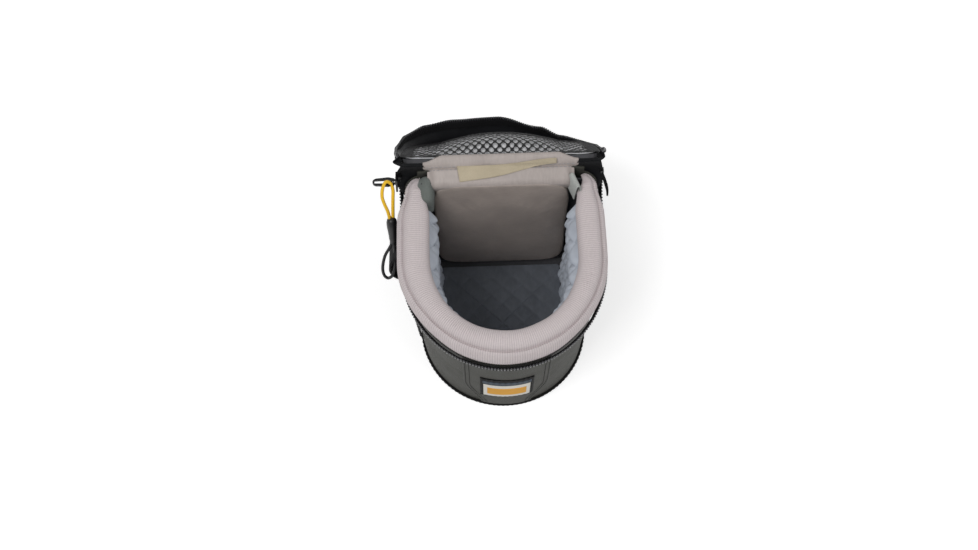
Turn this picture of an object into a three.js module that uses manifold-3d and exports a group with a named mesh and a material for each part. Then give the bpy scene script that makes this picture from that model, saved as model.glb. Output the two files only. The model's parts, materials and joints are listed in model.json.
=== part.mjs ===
// Lens pouch: a padded U-shaped pouch that stands open, its zip-round lid thrown back behind it.
// Millimetres, +Z up. The origin is the middle of the underside, the front faces -Y, the lid hinges at +Y.

import * as THREE from 'three';
import { mergeVertices } from 'three/addons/utils/BufferGeometryUtils.js';
import Module from 'manifold-3d';

const wasm = await Module();
wasm.setup();

// Driving dimensions of the body, measured on its outer fabric.
const baseHalfWidth = 56.2;
const mouthHalfWidth = 62.4;
const baseFrontDepth = 56.2;
const mouthFrontDepth = 67.2;
const backDepth = 59;
const backCornerRadius = 12;
const smallestCornerRadius = 2;
const hingeHeight = 137;
const zipDrop = 25;
const touchGap = 0.3;
const right = THREE.MathUtils.degToRad(90);

// The zip: level round the front and sides, then turning up the rear corners.
const zipTurnRadius = 18;
const zipTurnAngle = THREE.MathUtils.degToRad(82);
const zipEndMargin = 4;
const chainInner = 1.5;
const chainThickness = 2;
const chainWidth = 2.75;
const chainSlit = 0.25;
const tapeInner = 0.8;
const tapeThickness = 0.4;
const bodyTapeWidth = 9;
const lidTapeWidth = 10;

// Layers of the wall, from the outside in.
const fabricThickness = 1.2;
const wallFoamThickness = 6.4;
const liningThickness = 4.6;
const tuftDepth = 2.2;
const tuftRows = 7;
const shellBottom = 1.8;
const shellTopAboveZip = 1;
const wallFoamBottom = 4.2;
const liningBottom = 9;
const wallLiningEndDepth = 43;

// Floor layers, from the underside up.
const basePanelThickness = 1.4;
const baseBoardThickness = 1.8;
const baseFoamThickness = 3.6;
const floorPadThickness = 3.4;
const floorPadCrown = 1.6;
const bindingRadius = 1.2;

// The padded collar round the mouth.
const collarWidth = 16;
const collarProud = 0.6;
const collarAboveZip = 7;
const collarTopGap = 1.7;
const collarCoverThickness = 0.9;
const collarEndWidthShare = 0.42;
const collarPipingRadius = 1.9;
const pipingAboveZip = 3.6;
const pipingEndAngle = THREE.MathUtils.degToRad(34);

// The padded back wall and what is sewn at its top.
const backFabricThickness = 1.2;
const backFoamThickness = 5;
const backPadThickness = 3;
const backPadCrown = 3.4;
const backPadHalfWidth = 45;
const backPadBottom = 11.5;
const backPadBelowSill = 1.9;
const hingeBandThickness = 0.7;
const hingeBandHalfWidth = 48;
const hingeFabricThickness = 0.7;
const labelWidth = 64;
const labelHeight = 19;
const labelThickness = 0.5;
const labelOffset = -4;
const cornerTabWidth = 9;
const cornerTabHeight = 14;
const cornerTabThickness = 1.2;
const cornerTabLoop = 2.2;

// The overlay panel and its woven patch on the front.
const overlayThickness = 0.8;
const overlayTopHalfWidth = 28;
const overlayBottomHalfWidth = 17;
const overlayBottom = 5;
const patchHalfWidth = 17;
const patchBelowZip = 30;
const patchHeight = 51;
const patchThickness = 1;
const patchBorder = 3.4;
const patchFieldThickness = 0.5;

// Webbing on the back and on the left side.
const beltLoopWidth = 50;
const beltLoopBottom = 30;
const beltLoopBelowZip = 8;
const beltLoopGap = 7;
const beltLoopThickness = 1.8;
const sideStrapWidth = 16;
const sideStrapDepth = 28;
const sideStrapHeight = 42;
const sideStrapBelowZip = 28;
const sideStrapGap = 10;
const sideStrapThickness = 1.6;
const sidePatchFront = -20;
const sidePatchBack = 42;
const sidePatchMargin = 6;
const sidePatchThickness = 0.6;

// The lid, drawn closed about its hinge and then turned open.
const lidTilt = THREE.MathUtils.degToRad(3.6);
const lidOpenAngle = THREE.MathUtils.degToRad(232.4);
const lidHingeMargin = 1;
const lidShellThickness = 1.1;
const lidFoamThickness = 2.8;
const lidLiningThickness = 0.5;
const lidCrown = 8;
const lidCrownHalfWidth = 43;
const lidCrownFront = -50;
const lidCrownBack = 42;
const skirtInner = 1.5;
const skirtThickness = 1;
const skirtAboveZip = 4.6;
const lidBindingRadius = 1.2;
const frontSegments = 18;
const netThickness = 0.6;
const netClearance = 1.4;
const netTaper = 7;
const netInset = 3;
const netPitchWide = 13.4;
const netPitchDeep = 11.2;
const netStrand = 2.2;
const netHemWidth = 4;

// The slider, its tab and the cord pull.
const sliderAngle = THREE.MathUtils.degToRad(74);
const sliderLength = 10;
const sliderPlateThickness = 1.2;
const sliderLipWidth = 0.9;
const bailHeight = 3;
const bailThickness = 1.2;
const bailBaseHalf = 2.3;
const bailTopHalf = 1.3;
const bailEyeHalf = 1.05;
const bailEyeLow = 0.68;
const bailEyeHigh = 2.2;
const tabLength = 12;
const tabWidth = 7.6;
const tabThickness = 1.2;
const tabSlotLength = 9;
const tabSlotWidth = 3.4;
const tabEyeMargin = 0.9;
const tabBarWidth = 0.8;
const cordToSlotEnd = 0.7;
const cordRadius = 0.8;
const gripRadius = 3;
const gripLength = 20;
const gripLoopLength = 28;
const gripLoopHalfWidth = 4.4;
const gripLoopRadius = 1.05;

// Places worked out from the driving dimensions.
const zipHeight = hingeHeight - zipDrop;
const wallFoamTop = zipHeight + touchGap;
const liningTop = zipHeight;
const collarBottom = zipHeight + collarAboveZip;
const collarPipingHeight = zipHeight + pipingAboveZip;
const patchBottom = zipHeight - patchBelowZip - patchHeight;
const beltLoopTop = zipHeight - beltLoopBelowZip;
const sideStrapTop = zipHeight - sideStrapBelowZip;
const sideStrapBottom = sideStrapTop - sideStrapHeight;
const sidePatchTop = zipHeight - bodyTapeWidth - 4 * touchGap;
const sidePatchBottom = sideStrapBottom - sidePatchMargin;
const shellInner = -fabricThickness;
const foamOuter = shellInner - touchGap;
const foamInner = foamOuter - wallFoamThickness;
const liningOuter = foamInner - touchGap;
const liningInner = liningOuter - liningThickness;
const chainOuter = chainInner + chainThickness;
const zipEndDepth = backDepth - zipEndMargin;
const zipTurnDepth = zipEndDepth - zipTurnRadius * Math.sin(zipTurnAngle);
const zipTurnHeight = zipHeight + zipTurnRadius;
const backInner = backDepth - backFabricThickness;
const lidStack = lidShellThickness + lidFoamThickness + lidLiningThickness + 2 * touchGap;
const hingeSill = hingeHeight - lidStack - touchGap;
const backPadTop = hingeSill - backPadBelowSill;

const lerp = THREE.MathUtils.lerp;
const clamp = THREE.MathUtils.clamp;
const smooth = THREE.MathUtils.smoothstep;

// The wall leans in from the mouth to the base.
function halfWidthAt(height) {
  return lerp(baseHalfWidth, mouthHalfWidth, clamp(height / zipHeight, 0, 1));
}

function frontDepthAt(height) {
  return lerp(baseFrontDepth, mouthFrontDepth, clamp(height / zipHeight, 0, 1));
}

// How far the zip line has risen above its level stretch at a depth on the side.
function zipRiseAt(depth) {
  const along = clamp((depth - zipTurnDepth) / zipTurnRadius, 0, Math.sin(zipTurnAngle));
  return zipTurnRadius * (1 - Math.sqrt(1 - along * along));
}

// Height of the lid's outer face when it is closed.
function lidPlaneAt(depth) {
  return hingeHeight + (backDepth - depth) * Math.tan(lidTilt);
}

// A station is one place along the wall. Its point lies at a height and at an offset outwards.
function placeOnWall(station, height, offset) {
  const halfWidth = halfWidthAt(height);
  const frontDepth = frontDepthAt(height);
  const radius = Math.max(backCornerRadius + offset, smallestCornerRadius);
  const cornerX = halfWidth + offset - radius;
  const cornerY = backDepth + offset - radius;
  if (station.kind === 'back') {
    return new THREE.Vector3(station.side * cornerX * station.share, backDepth + offset, height);
  }
  if (station.kind === 'corner') {
    const turn = right * station.share;
    const x = cornerX + radius * Math.sin(turn);
    return new THREE.Vector3(station.side * x, cornerY + radius * Math.cos(turn), height);
  }
  if (station.kind === 'side') {
    return new THREE.Vector3(station.side * (halfWidth + offset), cornerY * station.share, height);
  }
  if (station.kind === 'depth' || station.kind === 'turn') {
    return new THREE.Vector3(station.side * (halfWidth + offset), station.depth, height);
  }
  const point = new THREE.Vector2(halfWidth * Math.sin(station.angle), -frontDepth * Math.cos(station.angle));
  const normal = new THREE.Vector2(Math.sin(station.angle) / halfWidth, -Math.cos(station.angle) / frontDepth);
  normal.normalize();
  return new THREE.Vector3(point.x + normal.x * offset, point.y + normal.y * offset, height);
}

function frontStations(steps) {
  const stations = [];
  for (let i = 0; i <= steps; i += 1) {
    stations.push({ kind: 'front', side: 1, angle: lerp(-right, right, i / steps) });
  }
  return stations;
}

// The left half of a run of stations, the front, and the same run mirrored to the right.
function mirrored(half, frontSteps) {
  const left = half.map((station) => ({ ...station, side: -1 }));
  const back = half.map((station) => ({ ...station, side: 1 })).reverse();
  return [...left, ...frontStations(frontSteps), ...back];
}

function steps(count, make) {
  return Array.from({ length: count + 1 }, (_, i) => make(i / count));
}

const cornerRun = steps(4, (share) => ({ kind: 'corner', share }));
const sideRun = steps(3, (share) => ({ kind: 'side', share: lerp(0.9, 0.2, share) }));
const wrapStations = mirrored([...cornerRun, ...sideRun], frontSegments);
const backRun = steps(1, (share) => ({ kind: 'back', share: lerp(0.3, 0.8, share) }));
const fullStations = mirrored([...backRun, ...cornerRun, ...sideRun], frontSegments);

// Stations along the zip: up round the turn at the rear, level along the side, then the front.
function zipStations(endAngle, turnSteps, frontSteps) {
  const turn = steps(turnSteps, (share) => {
    const angle = lerp(endAngle, 0, share);
    return { kind: 'turn', angle, depth: zipTurnDepth + zipTurnRadius * Math.sin(angle) };
  });
  const level = steps(2, (share) => ({ kind: 'depth', depth: zipTurnDepth * lerp(0.7, 0.2, share) }));
  return mirrored([...turn, ...level], frontSteps);
}

function depthStations(firstDepth, sideSteps, frontSteps) {
  const side = steps(sideSteps, (share) => ({ kind: 'depth', depth: firstDepth * lerp(1, 0.14, share) }));
  return mirrored(side, frontSteps);
}

function geometryFrom(positions, indices) {
  const geometry = new THREE.BufferGeometry();
  geometry.setAttribute('position', new THREE.Float32BufferAttribute(positions, 3));
  geometry.setIndex(indices);
  return geometry;
}

// Turns every face round when they point inwards.
function facingOut(geometry) {
  const position = geometry.getAttribute('position');
  const index = Array.from(geometry.getIndex().array);
  const corners = [new THREE.Vector3(), new THREE.Vector3(), new THREE.Vector3()];
  let volume = 0;
  for (let i = 0; i < index.length; i += 3) {
    corners.forEach((corner, k) => corner.fromBufferAttribute(position, index[i + k]));
    volume += corners[0].dot(corners[1].clone().cross(corners[2]));
  }
  if (volume < 0) {
    for (let i = 0; i < index.length; i += 3) {
      [index[i + 1], index[i + 2]] = [index[i + 2], index[i + 1]];
    }
    geometry.setIndex(index);
  }
  geometry.computeVertexNormals();
  return geometry;
}

// A solid skinned over rings of points; an open run gets a cap at each end.
function skinned(rings, closed, firstOutline = null, lastOutline = firstOutline) {
  const count = rings[0].length;
  const positions = rings.flat().flatMap((point) => point.toArray());
  const indices = [];
  const last = closed ? rings.length : rings.length - 1;
  for (let r = 0; r < last; r += 1) {
    const next = (r + 1) % rings.length;
    for (let k = 0; k < count; k += 1) {
      const a = r * count + k;
      const b = r * count + ((k + 1) % count);
      const c = next * count + ((k + 1) % count);
      const d = next * count + k;
      indices.push(a, b, c, a, c, d);
    }
  }
  if (!closed) {
    const toOutline = (outline) => outline.map(([u, v]) => new THREE.Vector2(u, v));
    const turned = (face) => [face[0], face[2], face[1]];
    const start = THREE.ShapeUtils.triangulateShape(toOutline(firstOutline), []);
    const end = THREE.ShapeUtils.triangulateShape(toOutline(lastOutline), []);
    const startOut = THREE.ShapeUtils.isClockWise(toOutline(firstOutline));
    const base = (rings.length - 1) * count;
    start.forEach((face) => indices.push(...(startOut ? face : turned(face))));
    end.forEach((face) => indices.push(...(startOut ? turned(face) : face).map((i) => i + base)));
    fixCaps(indices, last * count * 6);
  }
  return facingOut(geometryFrom(positions, indices));
}

// Turns the caps when their edges run the same way as those of the skin beside them.
function fixCaps(indices, firstCap) {
  const used = new Set();
  for (let i = 0; i < firstCap; i += 3) {
    for (let k = 0; k < 3; k += 1) {
      used.add(`${indices[i + k]}_${indices[i + ((k + 1) % 3)]}`);
    }
  }
  for (let i = firstCap; i < indices.length; i += 3) {
    const clash = [0, 1, 2].some((k) => used.has(`${indices[i + k]}_${indices[i + ((k + 1) % 3)]}`));
    if (clash) {
      for (let j = firstCap; j < indices.length; j += 3) {
        [indices[j + 1], indices[j + 2]] = [indices[j + 2], indices[j + 1]];
      }
      return;
    }
  }
}

// A band along the wall. The section gives offset and height pairs at each station.
function wallBand(stations, sectionAt, closed = false) {
  const sections = stations.map((station) => sectionAt(station));
  const rings = stations.map((station, i) => (
    sections[i].map(([offset, height]) => placeOnWall(station, height, offset))
  ));
  return skinned(rings, closed, sections[0], sections[sections.length - 1]);
}

// A band along the zip. The section gives the offset from the wall and the way across the zip line.
function zipBand(stations, sectionAt) {
  const sections = stations.map((station) => sectionAt(station));
  const rings = stations.map((station, i) => {
    const angle = station.kind === 'turn' ? station.angle : 0;
    const rise = station.kind === 'turn' ? zipTurnRadius * (1 - Math.cos(angle)) : 0;
    const up = new THREE.Vector3(0, -Math.sin(angle), Math.cos(angle));
    return sections[i].map(([offset, across]) => {
      const point = placeOnWall(station, zipHeight, offset);
      point.z += rise;
      return point.addScaledVector(up, across);
    });
  });
  return skinned(rings, false, sections[0], sections[sections.length - 1]);
}

// A pad over a closed outline: rings shrink to its middle, and its faces follow two height functions.
function pad(outline, centre, topAt, bottomAt, shares = [1, 0.93, 0.78, 0.52, 0.24]) {
  const positions = [];
  const indices = [];
  const count = outline.length;
  const faces = [topAt, bottomAt];
  faces.forEach((heightAt) => {
    shares.forEach((share) => {
      outline.forEach((point) => {
        const x = lerp(centre.x, point.x, share);
        const y = lerp(centre.y, point.y, share);
        positions.push(x, y, heightAt(x, y, share));
      });
    });
    positions.push(centre.x, centre.y, heightAt(centre.x, centre.y, 0));
  });
  const faceSize = count * shares.length + 1;
  faces.forEach((_, face) => {
    const base = face * faceSize;
    const add = (a, b, c) => indices.push(...(face === 0 ? [a, b, c] : [a, c, b]));
    for (let k = 0; k < count; k += 1) {
      const next = (k + 1) % count;
      for (let s = 0; s + 1 < shares.length; s += 1) {
        const outer = base + s * count;
        const inner = outer + count;
        add(outer + k, outer + next, inner + next);
        add(outer + k, inner + next, inner + k);
      }
      const innermost = base + (shares.length - 1) * count;
      add(innermost + k, innermost + next, base + faceSize - 1);
    }
  });
  for (let k = 0; k < count; k += 1) {
    const next = (k + 1) % count;
    indices.push(k, faceSize + next, next, k, faceSize + k, faceSize + next);
  }
  return facingOut(geometryFrom(positions, indices));
}

// The wall's closed outline at a height, moved in or out.
function outlineAt(height, offset) {
  return fullStations.map((station) => placeOnWall(station, height, offset));
}

function tube(points, radius, sides, runSteps, closedCurve = false) {
  const curve = new THREE.CatmullRomCurve3(points, closedCurve);
  const section = new THREE.Shape();
  for (let i = 0; i < sides; i += 1) {
    const angle = (i / sides) * 4 * right;
    const x = radius * Math.cos(angle);
    const y = radius * Math.sin(angle);
    if (i === 0) section.moveTo(x, y);
    else section.lineTo(x, y);
  }
  section.closePath();
  return new THREE.ExtrudeGeometry(section, { steps: runSteps, extrudePath: curve, curveSegments: 1 });
}

function boxBetween(low, high) {
  const geometry = new THREE.BoxGeometry(high.x - low.x, high.y - low.y, high.z - low.z);
  geometry.translate((low.x + high.x) / 2, (low.y + high.y) / 2, (low.z + high.z) / 2);
  return geometry;
}

// Solids for cuts and joins.
function toSolid(geometry) {
  const bare = geometry.clone();
  bare.deleteAttribute('normal');
  bare.deleteAttribute('uv');
  const merged = mergeVertices(bare, 1e-4);
  return new wasm.Manifold(new wasm.Mesh({
    numProp: 3,
    vertProperties: Float32Array.from(merged.getAttribute('position').array),
    triVerts: Uint32Array.from(merged.getIndex().array),
  }));
}

function fromSolid(solid) {
  const mesh = solid.getMesh();
  const geometry = geometryFrom(Array.from(mesh.vertProperties), Array.from(mesh.triVerts));
  geometry.computeVertexNormals();
  return geometry;
}

function finish(color, roughness, metalness = 0) {
  return () => new THREE.MeshStandardMaterial({ color, roughness, metalness });
}

const bodyNylon = finish(0x4b4b46, 0.6);
const blackNylon = finish(0x161719, 0.5);
const webbing = finish(0x18181a, 0.75);
const knit = finish(0xbfb3b3, 0.9);
const quilt = finish(0xb4bac2, 0.7);
const satin = finish(0x9a928c, 0.5);
const paleBand = finish(0xb9b4ad, 0.7);
const foam = finish(0x3a3a3c, 0.95);
const board = finish(0x2a2a2c, 0.8);
const twill = finish(0xcfc4ae, 0.85);
const tapeCloth = finish(0x111113, 0.8);
const chainPlastic = finish(0x1b1b1e, 0.35);
const blackMetal = finish(0x0e0e10, 0.3, 0.8);
const yellowCord = finish(0xf4c414, 0.6);
const blackRubber = finish(0x0c0c0d, 0.4);
const whiteWeave = finish(0xe9e6dc, 0.8);
const yellowWeave = finish(0xe0a83a, 0.8);

const pouch = new THREE.Group();

function add(parent, name, geometry, material) {
  const mesh = new THREE.Mesh(geometry, material());
  mesh.name = name;
  parent.add(mesh);
  return mesh;
}

function ringSection(offset, height, radius, sides = 6) {
  return steps(sides - 1, (share) => {
    const angle = 4 * right * share * ((sides - 1) / sides);
    return [offset + radius * Math.cos(angle), height + radius * Math.sin(angle)];
  });
}

// The outer fabric of the walls rises round the rear corners to the hinge.
function shellTopAt(station) {
  const depth = placeOnWall(station, zipHeight, 0).y;
  const level = zipHeight + shellTopAboveZip;
  if (station.kind === 'corner') {
    const reach = smooth(1 - station.share, 0, 0.45);
    return lerp(level + zipRiseAt(depth), hingeSill, reach);
  }
  return level + (station.side === 0 ? 0 : zipRiseAt(depth));
}

function makeShell() {
  const section = (station) => {
    const top = shellTopAt(station);
    const outer = [shellBottom, zipHeight, top].map((height) => [0, height]);
    const inner = [top, zipHeight, shellBottom].map((height) => [shellInner, height]);
    return [...outer, ...inner];
  };
  add(pouch, 'outer_shell', wallBand(wrapStations, section), bodyNylon);
}

function makeBase() {
  const flat = (height) => () => height;
  const centre = new THREE.Vector2(0, 0);
  const layer = (name, offset, bottom, thickness, material, crown = 0) => {
    const outline = outlineAt(bottom, offset);
    const top = (x, y, share) => bottom + thickness + crown * (1 - share * share);
    add(pouch, name, pad(outline, centre, top, flat(bottom), crown > 0 ? undefined : [1, 0.5]), material);
  };
  layer('base_panel', 0, 0, basePanelThickness, bodyNylon);
  const boardBottom = basePanelThickness + touchGap;
  layer('base_board', foamOuter, boardBottom, baseBoardThickness, board);
  const foamBottom = boardBottom + baseBoardThickness + touchGap;
  layer('base_foam', liningOuter, foamBottom, baseFoamThickness, foam);
  const padBottom = foamBottom + baseFoamThickness + touchGap;
  layer('floor_pad', liningInner - tuftDepth - touchGap, padBottom, floorPadThickness, quilt, floorPadCrown);
  const binding = () => ringSection(touchGap + bindingRadius, touchGap + bindingRadius, bindingRadius);
  add(pouch, 'base_binding', wallBand(fullStations, binding, true), webbing);
}

function makeWallPadding() {
  const foamStations = depthStations(wallLiningEndDepth, 3, frontSegments);
  const foamSection = () => [
    [foamOuter, wallFoamBottom], [foamOuter, wallFoamTop],
    [foamInner, wallFoamTop], [foamInner, wallFoamBottom],
  ];
  add(pouch, 'wall_foam', wallBand(foamStations, foamSection), foam);
  const liningStations = depthStations(wallLiningEndDepth, 4, 26);
  const section = (station) => {
    const column = liningStations.indexOf(station) % 2;
    const inner = steps(tuftRows * 2, (share) => {
      const row = Math.round(share * tuftRows * 2) % 2;
      const proud = row === 1 && column === 1 ? tuftDepth : row * column;
      return [liningInner - proud, lerp(liningTop, liningBottom, share)];
    });
    return [[liningOuter, liningBottom], [liningOuter, liningTop], ...inner];
  };
  add(pouch, 'quilted_lining', wallBand(liningStations, section), quilt);
}

// The collar narrows and draws inwards where it runs round the rear corners.
function collarShapeAt(station) {
  const depth = placeOnWall(station, zipHeight, 0).y;
  const front = station.kind === 'front' ? 0 : depth;
  const corner = station.kind === 'corner' ? 1 - station.share : 0;
  const draw = smooth(front, zipTurnDepth * 0.8, backDepth - backCornerRadius);
  const widthShare = lerp(lerp(1, 0.75, draw), collarEndWidthShare, corner);
  const outer = lerp(collarProud, foamOuter - touchGap, draw);
  const top = lidPlaneAt(depth) - lidStack - netClearance - netThickness - collarTopGap;
  const bottom = collarBottom + Math.min(zipRiseAt(front), 2 * collarPipingRadius);
  return { outer, width: collarWidth * widthShare, top, bottom };
}

function collarStations() {
  const half = [
    ...steps(3, (share) => ({ kind: 'corner', share: lerp(0.35, 1, share) })),
    ...steps(4, (share) => ({ kind: 'side', share: lerp(0.9, 0.15, share) })),
  ];
  return mirrored(half, frontSegments);
}

function ellipseArc(shape, inset, from, to, count) {
  const middle = shape.outer - shape.width / 2;
  const height = (shape.top + shape.bottom) / 2;
  const acrossRadius = shape.width / 2 - inset;
  const upRadius = (shape.top - shape.bottom) / 2 - inset;
  return steps(count, (share) => {
    const angle = lerp(from, to, share);
    return [middle + acrossRadius * Math.cos(angle), height + upRadius * Math.sin(angle)];
  });
}

function makeCollar() {
  const stations = collarStations();
  const opening = THREE.MathUtils.degToRad(24);
  const from = -right + opening;
  const to = 3 * right - opening;
  const cover = (station) => {
    const shape = collarShapeAt(station);
    const outer = ellipseArc(shape, 0, from, to, 9);
    const inner = ellipseArc(shape, collarCoverThickness, to, from, 9);
    return [...outer, ...inner];
  };
  add(pouch, 'collar_cover', wallBand(stations, cover), knit);
  const core = (station) => {
    const shape = collarShapeAt(station);
    return ellipseArc(shape, collarCoverThickness + 2 * touchGap, 0, 3.5 * right, 7);
  };
  add(pouch, 'collar_foam', wallBand(stations, core), foam);
  const pipingStations = zipStations(pipingEndAngle, 3, frontSegments);
  const piping = (station) => {
    const rise = station.kind === 'turn' ? zipRiseAt(station.depth) : 0;
    const offset = collarProud - collarPipingRadius - 0.5 * rise;
    return ringSection(offset, collarPipingHeight + rise, collarPipingRadius);
  };
  add(pouch, 'collar_piping', wallBand(pipingStations, piping), knit);
}

function roundedOutline(halfWidth, low, high, radius, sides = 5) {
  const corners = [[1, low, -1], [1, high, 1], [-1, high, 1], [-1, low, -1]];
  return corners.flatMap(([side, height, up], k) => steps(sides, (share) => {
    const angle = right * (k - 1 + share);
    const x = side * (halfWidth - radius) + radius * Math.cos(angle);
    return new THREE.Vector2(x, height - up * radius + radius * Math.sin(angle));
  }));
}

// A pad drawn flat and then stood up against the back wall, crowned towards the front.
function standingPad(outline, centreHeight, face, thickness, crown) {
  const centre = new THREE.Vector2(0, centreHeight);
  const bulge = (x, y, share) => thickness + crown * (1 - share * share);
  const geometry = pad(outline, centre, bulge, () => 0);
  geometry.rotateX(right);
  geometry.translate(0, face, 0);
  return geometry;
}

function makeBack() {
  const seam = mouthHalfWidth - backCornerRadius - 3 * touchGap;
  const low = halfWidthAt(shellBottom) - backCornerRadius - 3 * touchGap;
  const profile = new THREE.Shape([
    new THREE.Vector2(-low, shellBottom), new THREE.Vector2(low, shellBottom),
    new THREE.Vector2(seam, hingeSill), new THREE.Vector2(-seam, hingeSill),
  ]);
  const panel = new THREE.ExtrudeGeometry(profile, { depth: backFabricThickness, bevelEnabled: false });
  panel.rotateX(right);
  panel.translate(0, backDepth, 0);
  add(pouch, 'back_panel', panel, bodyNylon);
  const padCentre = (backPadBottom + backPadTop) / 2;
  const corner = backPadThickness + backFoamThickness;
  const foamOutline = roundedOutline(backPadHalfWidth, backPadBottom, backPadTop, corner, 3);
  const foamFace = backInner - touchGap;
  add(pouch, 'back_foam', standingPad(foamOutline, padCentre, foamFace, backFoamThickness, 0), foam);
  const padOutline = roundedOutline(backPadHalfWidth, backPadBottom, backPadTop, corner);
  const padFace = foamFace - backFoamThickness - touchGap;
  add(pouch, 'back_pad', standingPad(padOutline, padCentre, padFace, backPadThickness, backPadCrown), satin);
  const bandLow = new THREE.Vector3(-hingeBandHalfWidth, padFace - backPadThickness, backPadTop + touchGap);
  const bandHigh = new THREE.Vector3(hingeBandHalfWidth, foamFace, bandLow.z + hingeBandThickness);
  add(pouch, 'hinge_band', boxBetween(bandLow, bandHigh), paleBand);
  const flapLow = new THREE.Vector3(-seam, backDepth + touchGap, hingeSill - 4 * lidHingeMargin);
  const flapHigh = new THREE.Vector3(seam, flapLow.y + hingeFabricThickness, hingeHeight - 2 * lidHingeMargin);
  add(pouch, 'hinge_fabric', boxBetween(flapLow, flapHigh), blackNylon);
  const labelShare = (backPadTop - labelHeight - padCentre) / (backPadTop - padCentre);
  const labelCrown = backPadCrown * (1 - labelShare * labelShare);
  const labelFace = padFace - backPadThickness - labelCrown - touchGap;
  const labelLow = new THREE.Vector3(labelOffset - labelWidth / 2, labelFace - labelThickness, 0);
  labelLow.z = backPadTop - labelHeight;
  const labelHigh = new THREE.Vector3(labelLow.x + labelWidth, labelFace, backPadTop);
  add(pouch, 'care_label', boxBetween(labelLow, labelHigh), twill);
}

// A folded tab stands in each rear corner, between the collar's end and the back pad.
function makeCornerTabs() {
  const outer = cornerTabLoop + cornerTabThickness;
  const loop = new THREE.Shape();
  loop.moveTo(-outer, -cornerTabHeight);
  loop.lineTo(-outer, -outer);
  loop.absarc(0, -outer, outer, 2 * right, 0, true);
  loop.lineTo(outer, -cornerTabHeight);
  loop.lineTo(cornerTabLoop, -cornerTabHeight);
  loop.lineTo(cornerTabLoop, -outer);
  loop.absarc(0, -outer, cornerTabLoop, 0, 2 * right, false);
  loop.lineTo(-cornerTabLoop, -cornerTabHeight);
  loop.closePath();
  [['corner_tab_left', -1], ['corner_tab_right', 1]].forEach(([name, side]) => {
    const settings = { depth: cornerTabWidth, bevelEnabled: false, curveSegments: 6 };
    const geometry = new THREE.ExtrudeGeometry(loop, settings);
    geometry.rotateX(right);
    geometry.translate(0, cornerTabWidth / 2, 0);
    const tab = add(pouch, name, geometry, paleBand);
    tab.rotation.z = side * right / 2;
    const x = side * (backPadHalfWidth - cornerTabWidth / 4);
    tab.position.set(x, wallLiningEndDepth - cornerTabWidth / 8, backPadTop - touchGap);
  });
}

// A thin sheet that lies on the front wall, from its lower edge to its upper one.
function frontSheet(bottom, top, halfWidthShareAt, inner, thickness, columns, rows) {
  const ringAt = (column) => {
    const sheet = (offset) => steps(rows, (share) => {
      const height = lerp(bottom, top, share);
      const across = lerp(-1, 1, column) * halfWidthShareAt(share);
      const angle = Math.asin(across / halfWidthAt(height));
      return placeOnWall({ kind: 'front', side: 1, angle }, height, offset);
    });
    return [...sheet(inner), ...sheet(inner + thickness).reverse()];
  };
  const rings = steps(columns, ringAt);
  const outline = [
    ...steps(rows, (share) => [0, lerp(bottom, top, share)]),
    ...steps(rows, (share) => [thickness, lerp(top, bottom, share)]),
  ];
  return skinned(rings, false, outline);
}

function makeFront() {
  const top = zipHeight - bodyTapeWidth - touchGap;
  const narrowing = (share) => lerp(overlayBottomHalfWidth, overlayTopHalfWidth, smooth(share, 0, 0.45));
  const overlay = frontSheet(overlayBottom, top, narrowing, touchGap, overlayThickness, 12, 5);
  add(pouch, 'front_panel', overlay, bodyNylon);
  const patchInner = overlayThickness + 2 * touchGap;
  const straight = () => patchHalfWidth;
  const patchTop = patchBottom + patchHeight;
  const patch = frontSheet(patchBottom, patchTop, straight, patchInner, patchThickness, 8, 2);
  add(pouch, 'front_patch', patch, whiteWeave);
  const field = () => patchHalfWidth - patchBorder;
  const fieldInner = patchInner + patchThickness + touchGap;
  const low = patchBottom + patchBorder;
  const high = patchTop - 2 * patchBorder;
  const block = frontSheet(low, high, field, fieldInner, patchFieldThickness, 8, 2);
  add(pouch, 'patch_field', block, yellowWeave);
}

// Webbing that stands off the wall between its two sewn ends.
function standOffRun(low, high, gap, thickness) {
  const span = high - low;
  const shares = [[0, 0], [0.1, 0], [0.2, 0.62], [0.34, 1], [0.66, 1], [0.8, 0.62], [0.9, 0], [1, 0]];
  const run = shares.map(([along, out]) => [touchGap + out * gap, low + along * span]);
  return [...run, ...run.slice().reverse().map(([out, height]) => [out + thickness, height])];
}

function makeBeltLoop() {
  const outline = standOffRun(beltLoopBottom, beltLoopTop, beltLoopGap, beltLoopThickness);
  const shape = new THREE.Shape(outline.map(([out, height]) => new THREE.Vector2(out, height)));
  const geometry = new THREE.ExtrudeGeometry(shape, { depth: beltLoopWidth, bevelEnabled: false });
  geometry.rotateX(right);
  geometry.rotateZ(right);
  geometry.translate(-beltLoopWidth / 2, backDepth, 0);
  add(pouch, 'belt_loop', geometry, webbing);
}

function makeSideStrap() {
  const patchStations = steps(6, (share) => {
    const depth = lerp(sidePatchBack, sidePatchFront, share);
    const angle = -Math.acos(clamp(-depth / mouthFrontDepth, 0, 1));
    return depth > 0 ? { kind: 'depth', side: -1, depth } : { kind: 'front', side: 1, angle };
  });
  const patchSection = () => [
    [touchGap, sidePatchBottom], [touchGap, sidePatchTop],
    [touchGap + sidePatchThickness, sidePatchTop], [touchGap + sidePatchThickness, sidePatchBottom],
  ];
  add(pouch, 'side_patch', wallBand(patchStations, patchSection), webbing);
  const seat = sidePatchThickness + touchGap;
  const run = standOffRun(sideStrapBottom, sideStrapTop, sideStrapGap, sideStrapThickness);
  const section = run.map(([out, height]) => [seat + out, height]);
  const front = sideStrapDepth - sideStrapWidth / 2;
  const strapStations = steps(2, (share) => (
    { kind: 'depth', side: -1, depth: lerp(front, front + sideStrapWidth, share) }
  ));
  add(pouch, 'side_strap', wallBand(strapStations, () => section), webbing);
}

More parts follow.
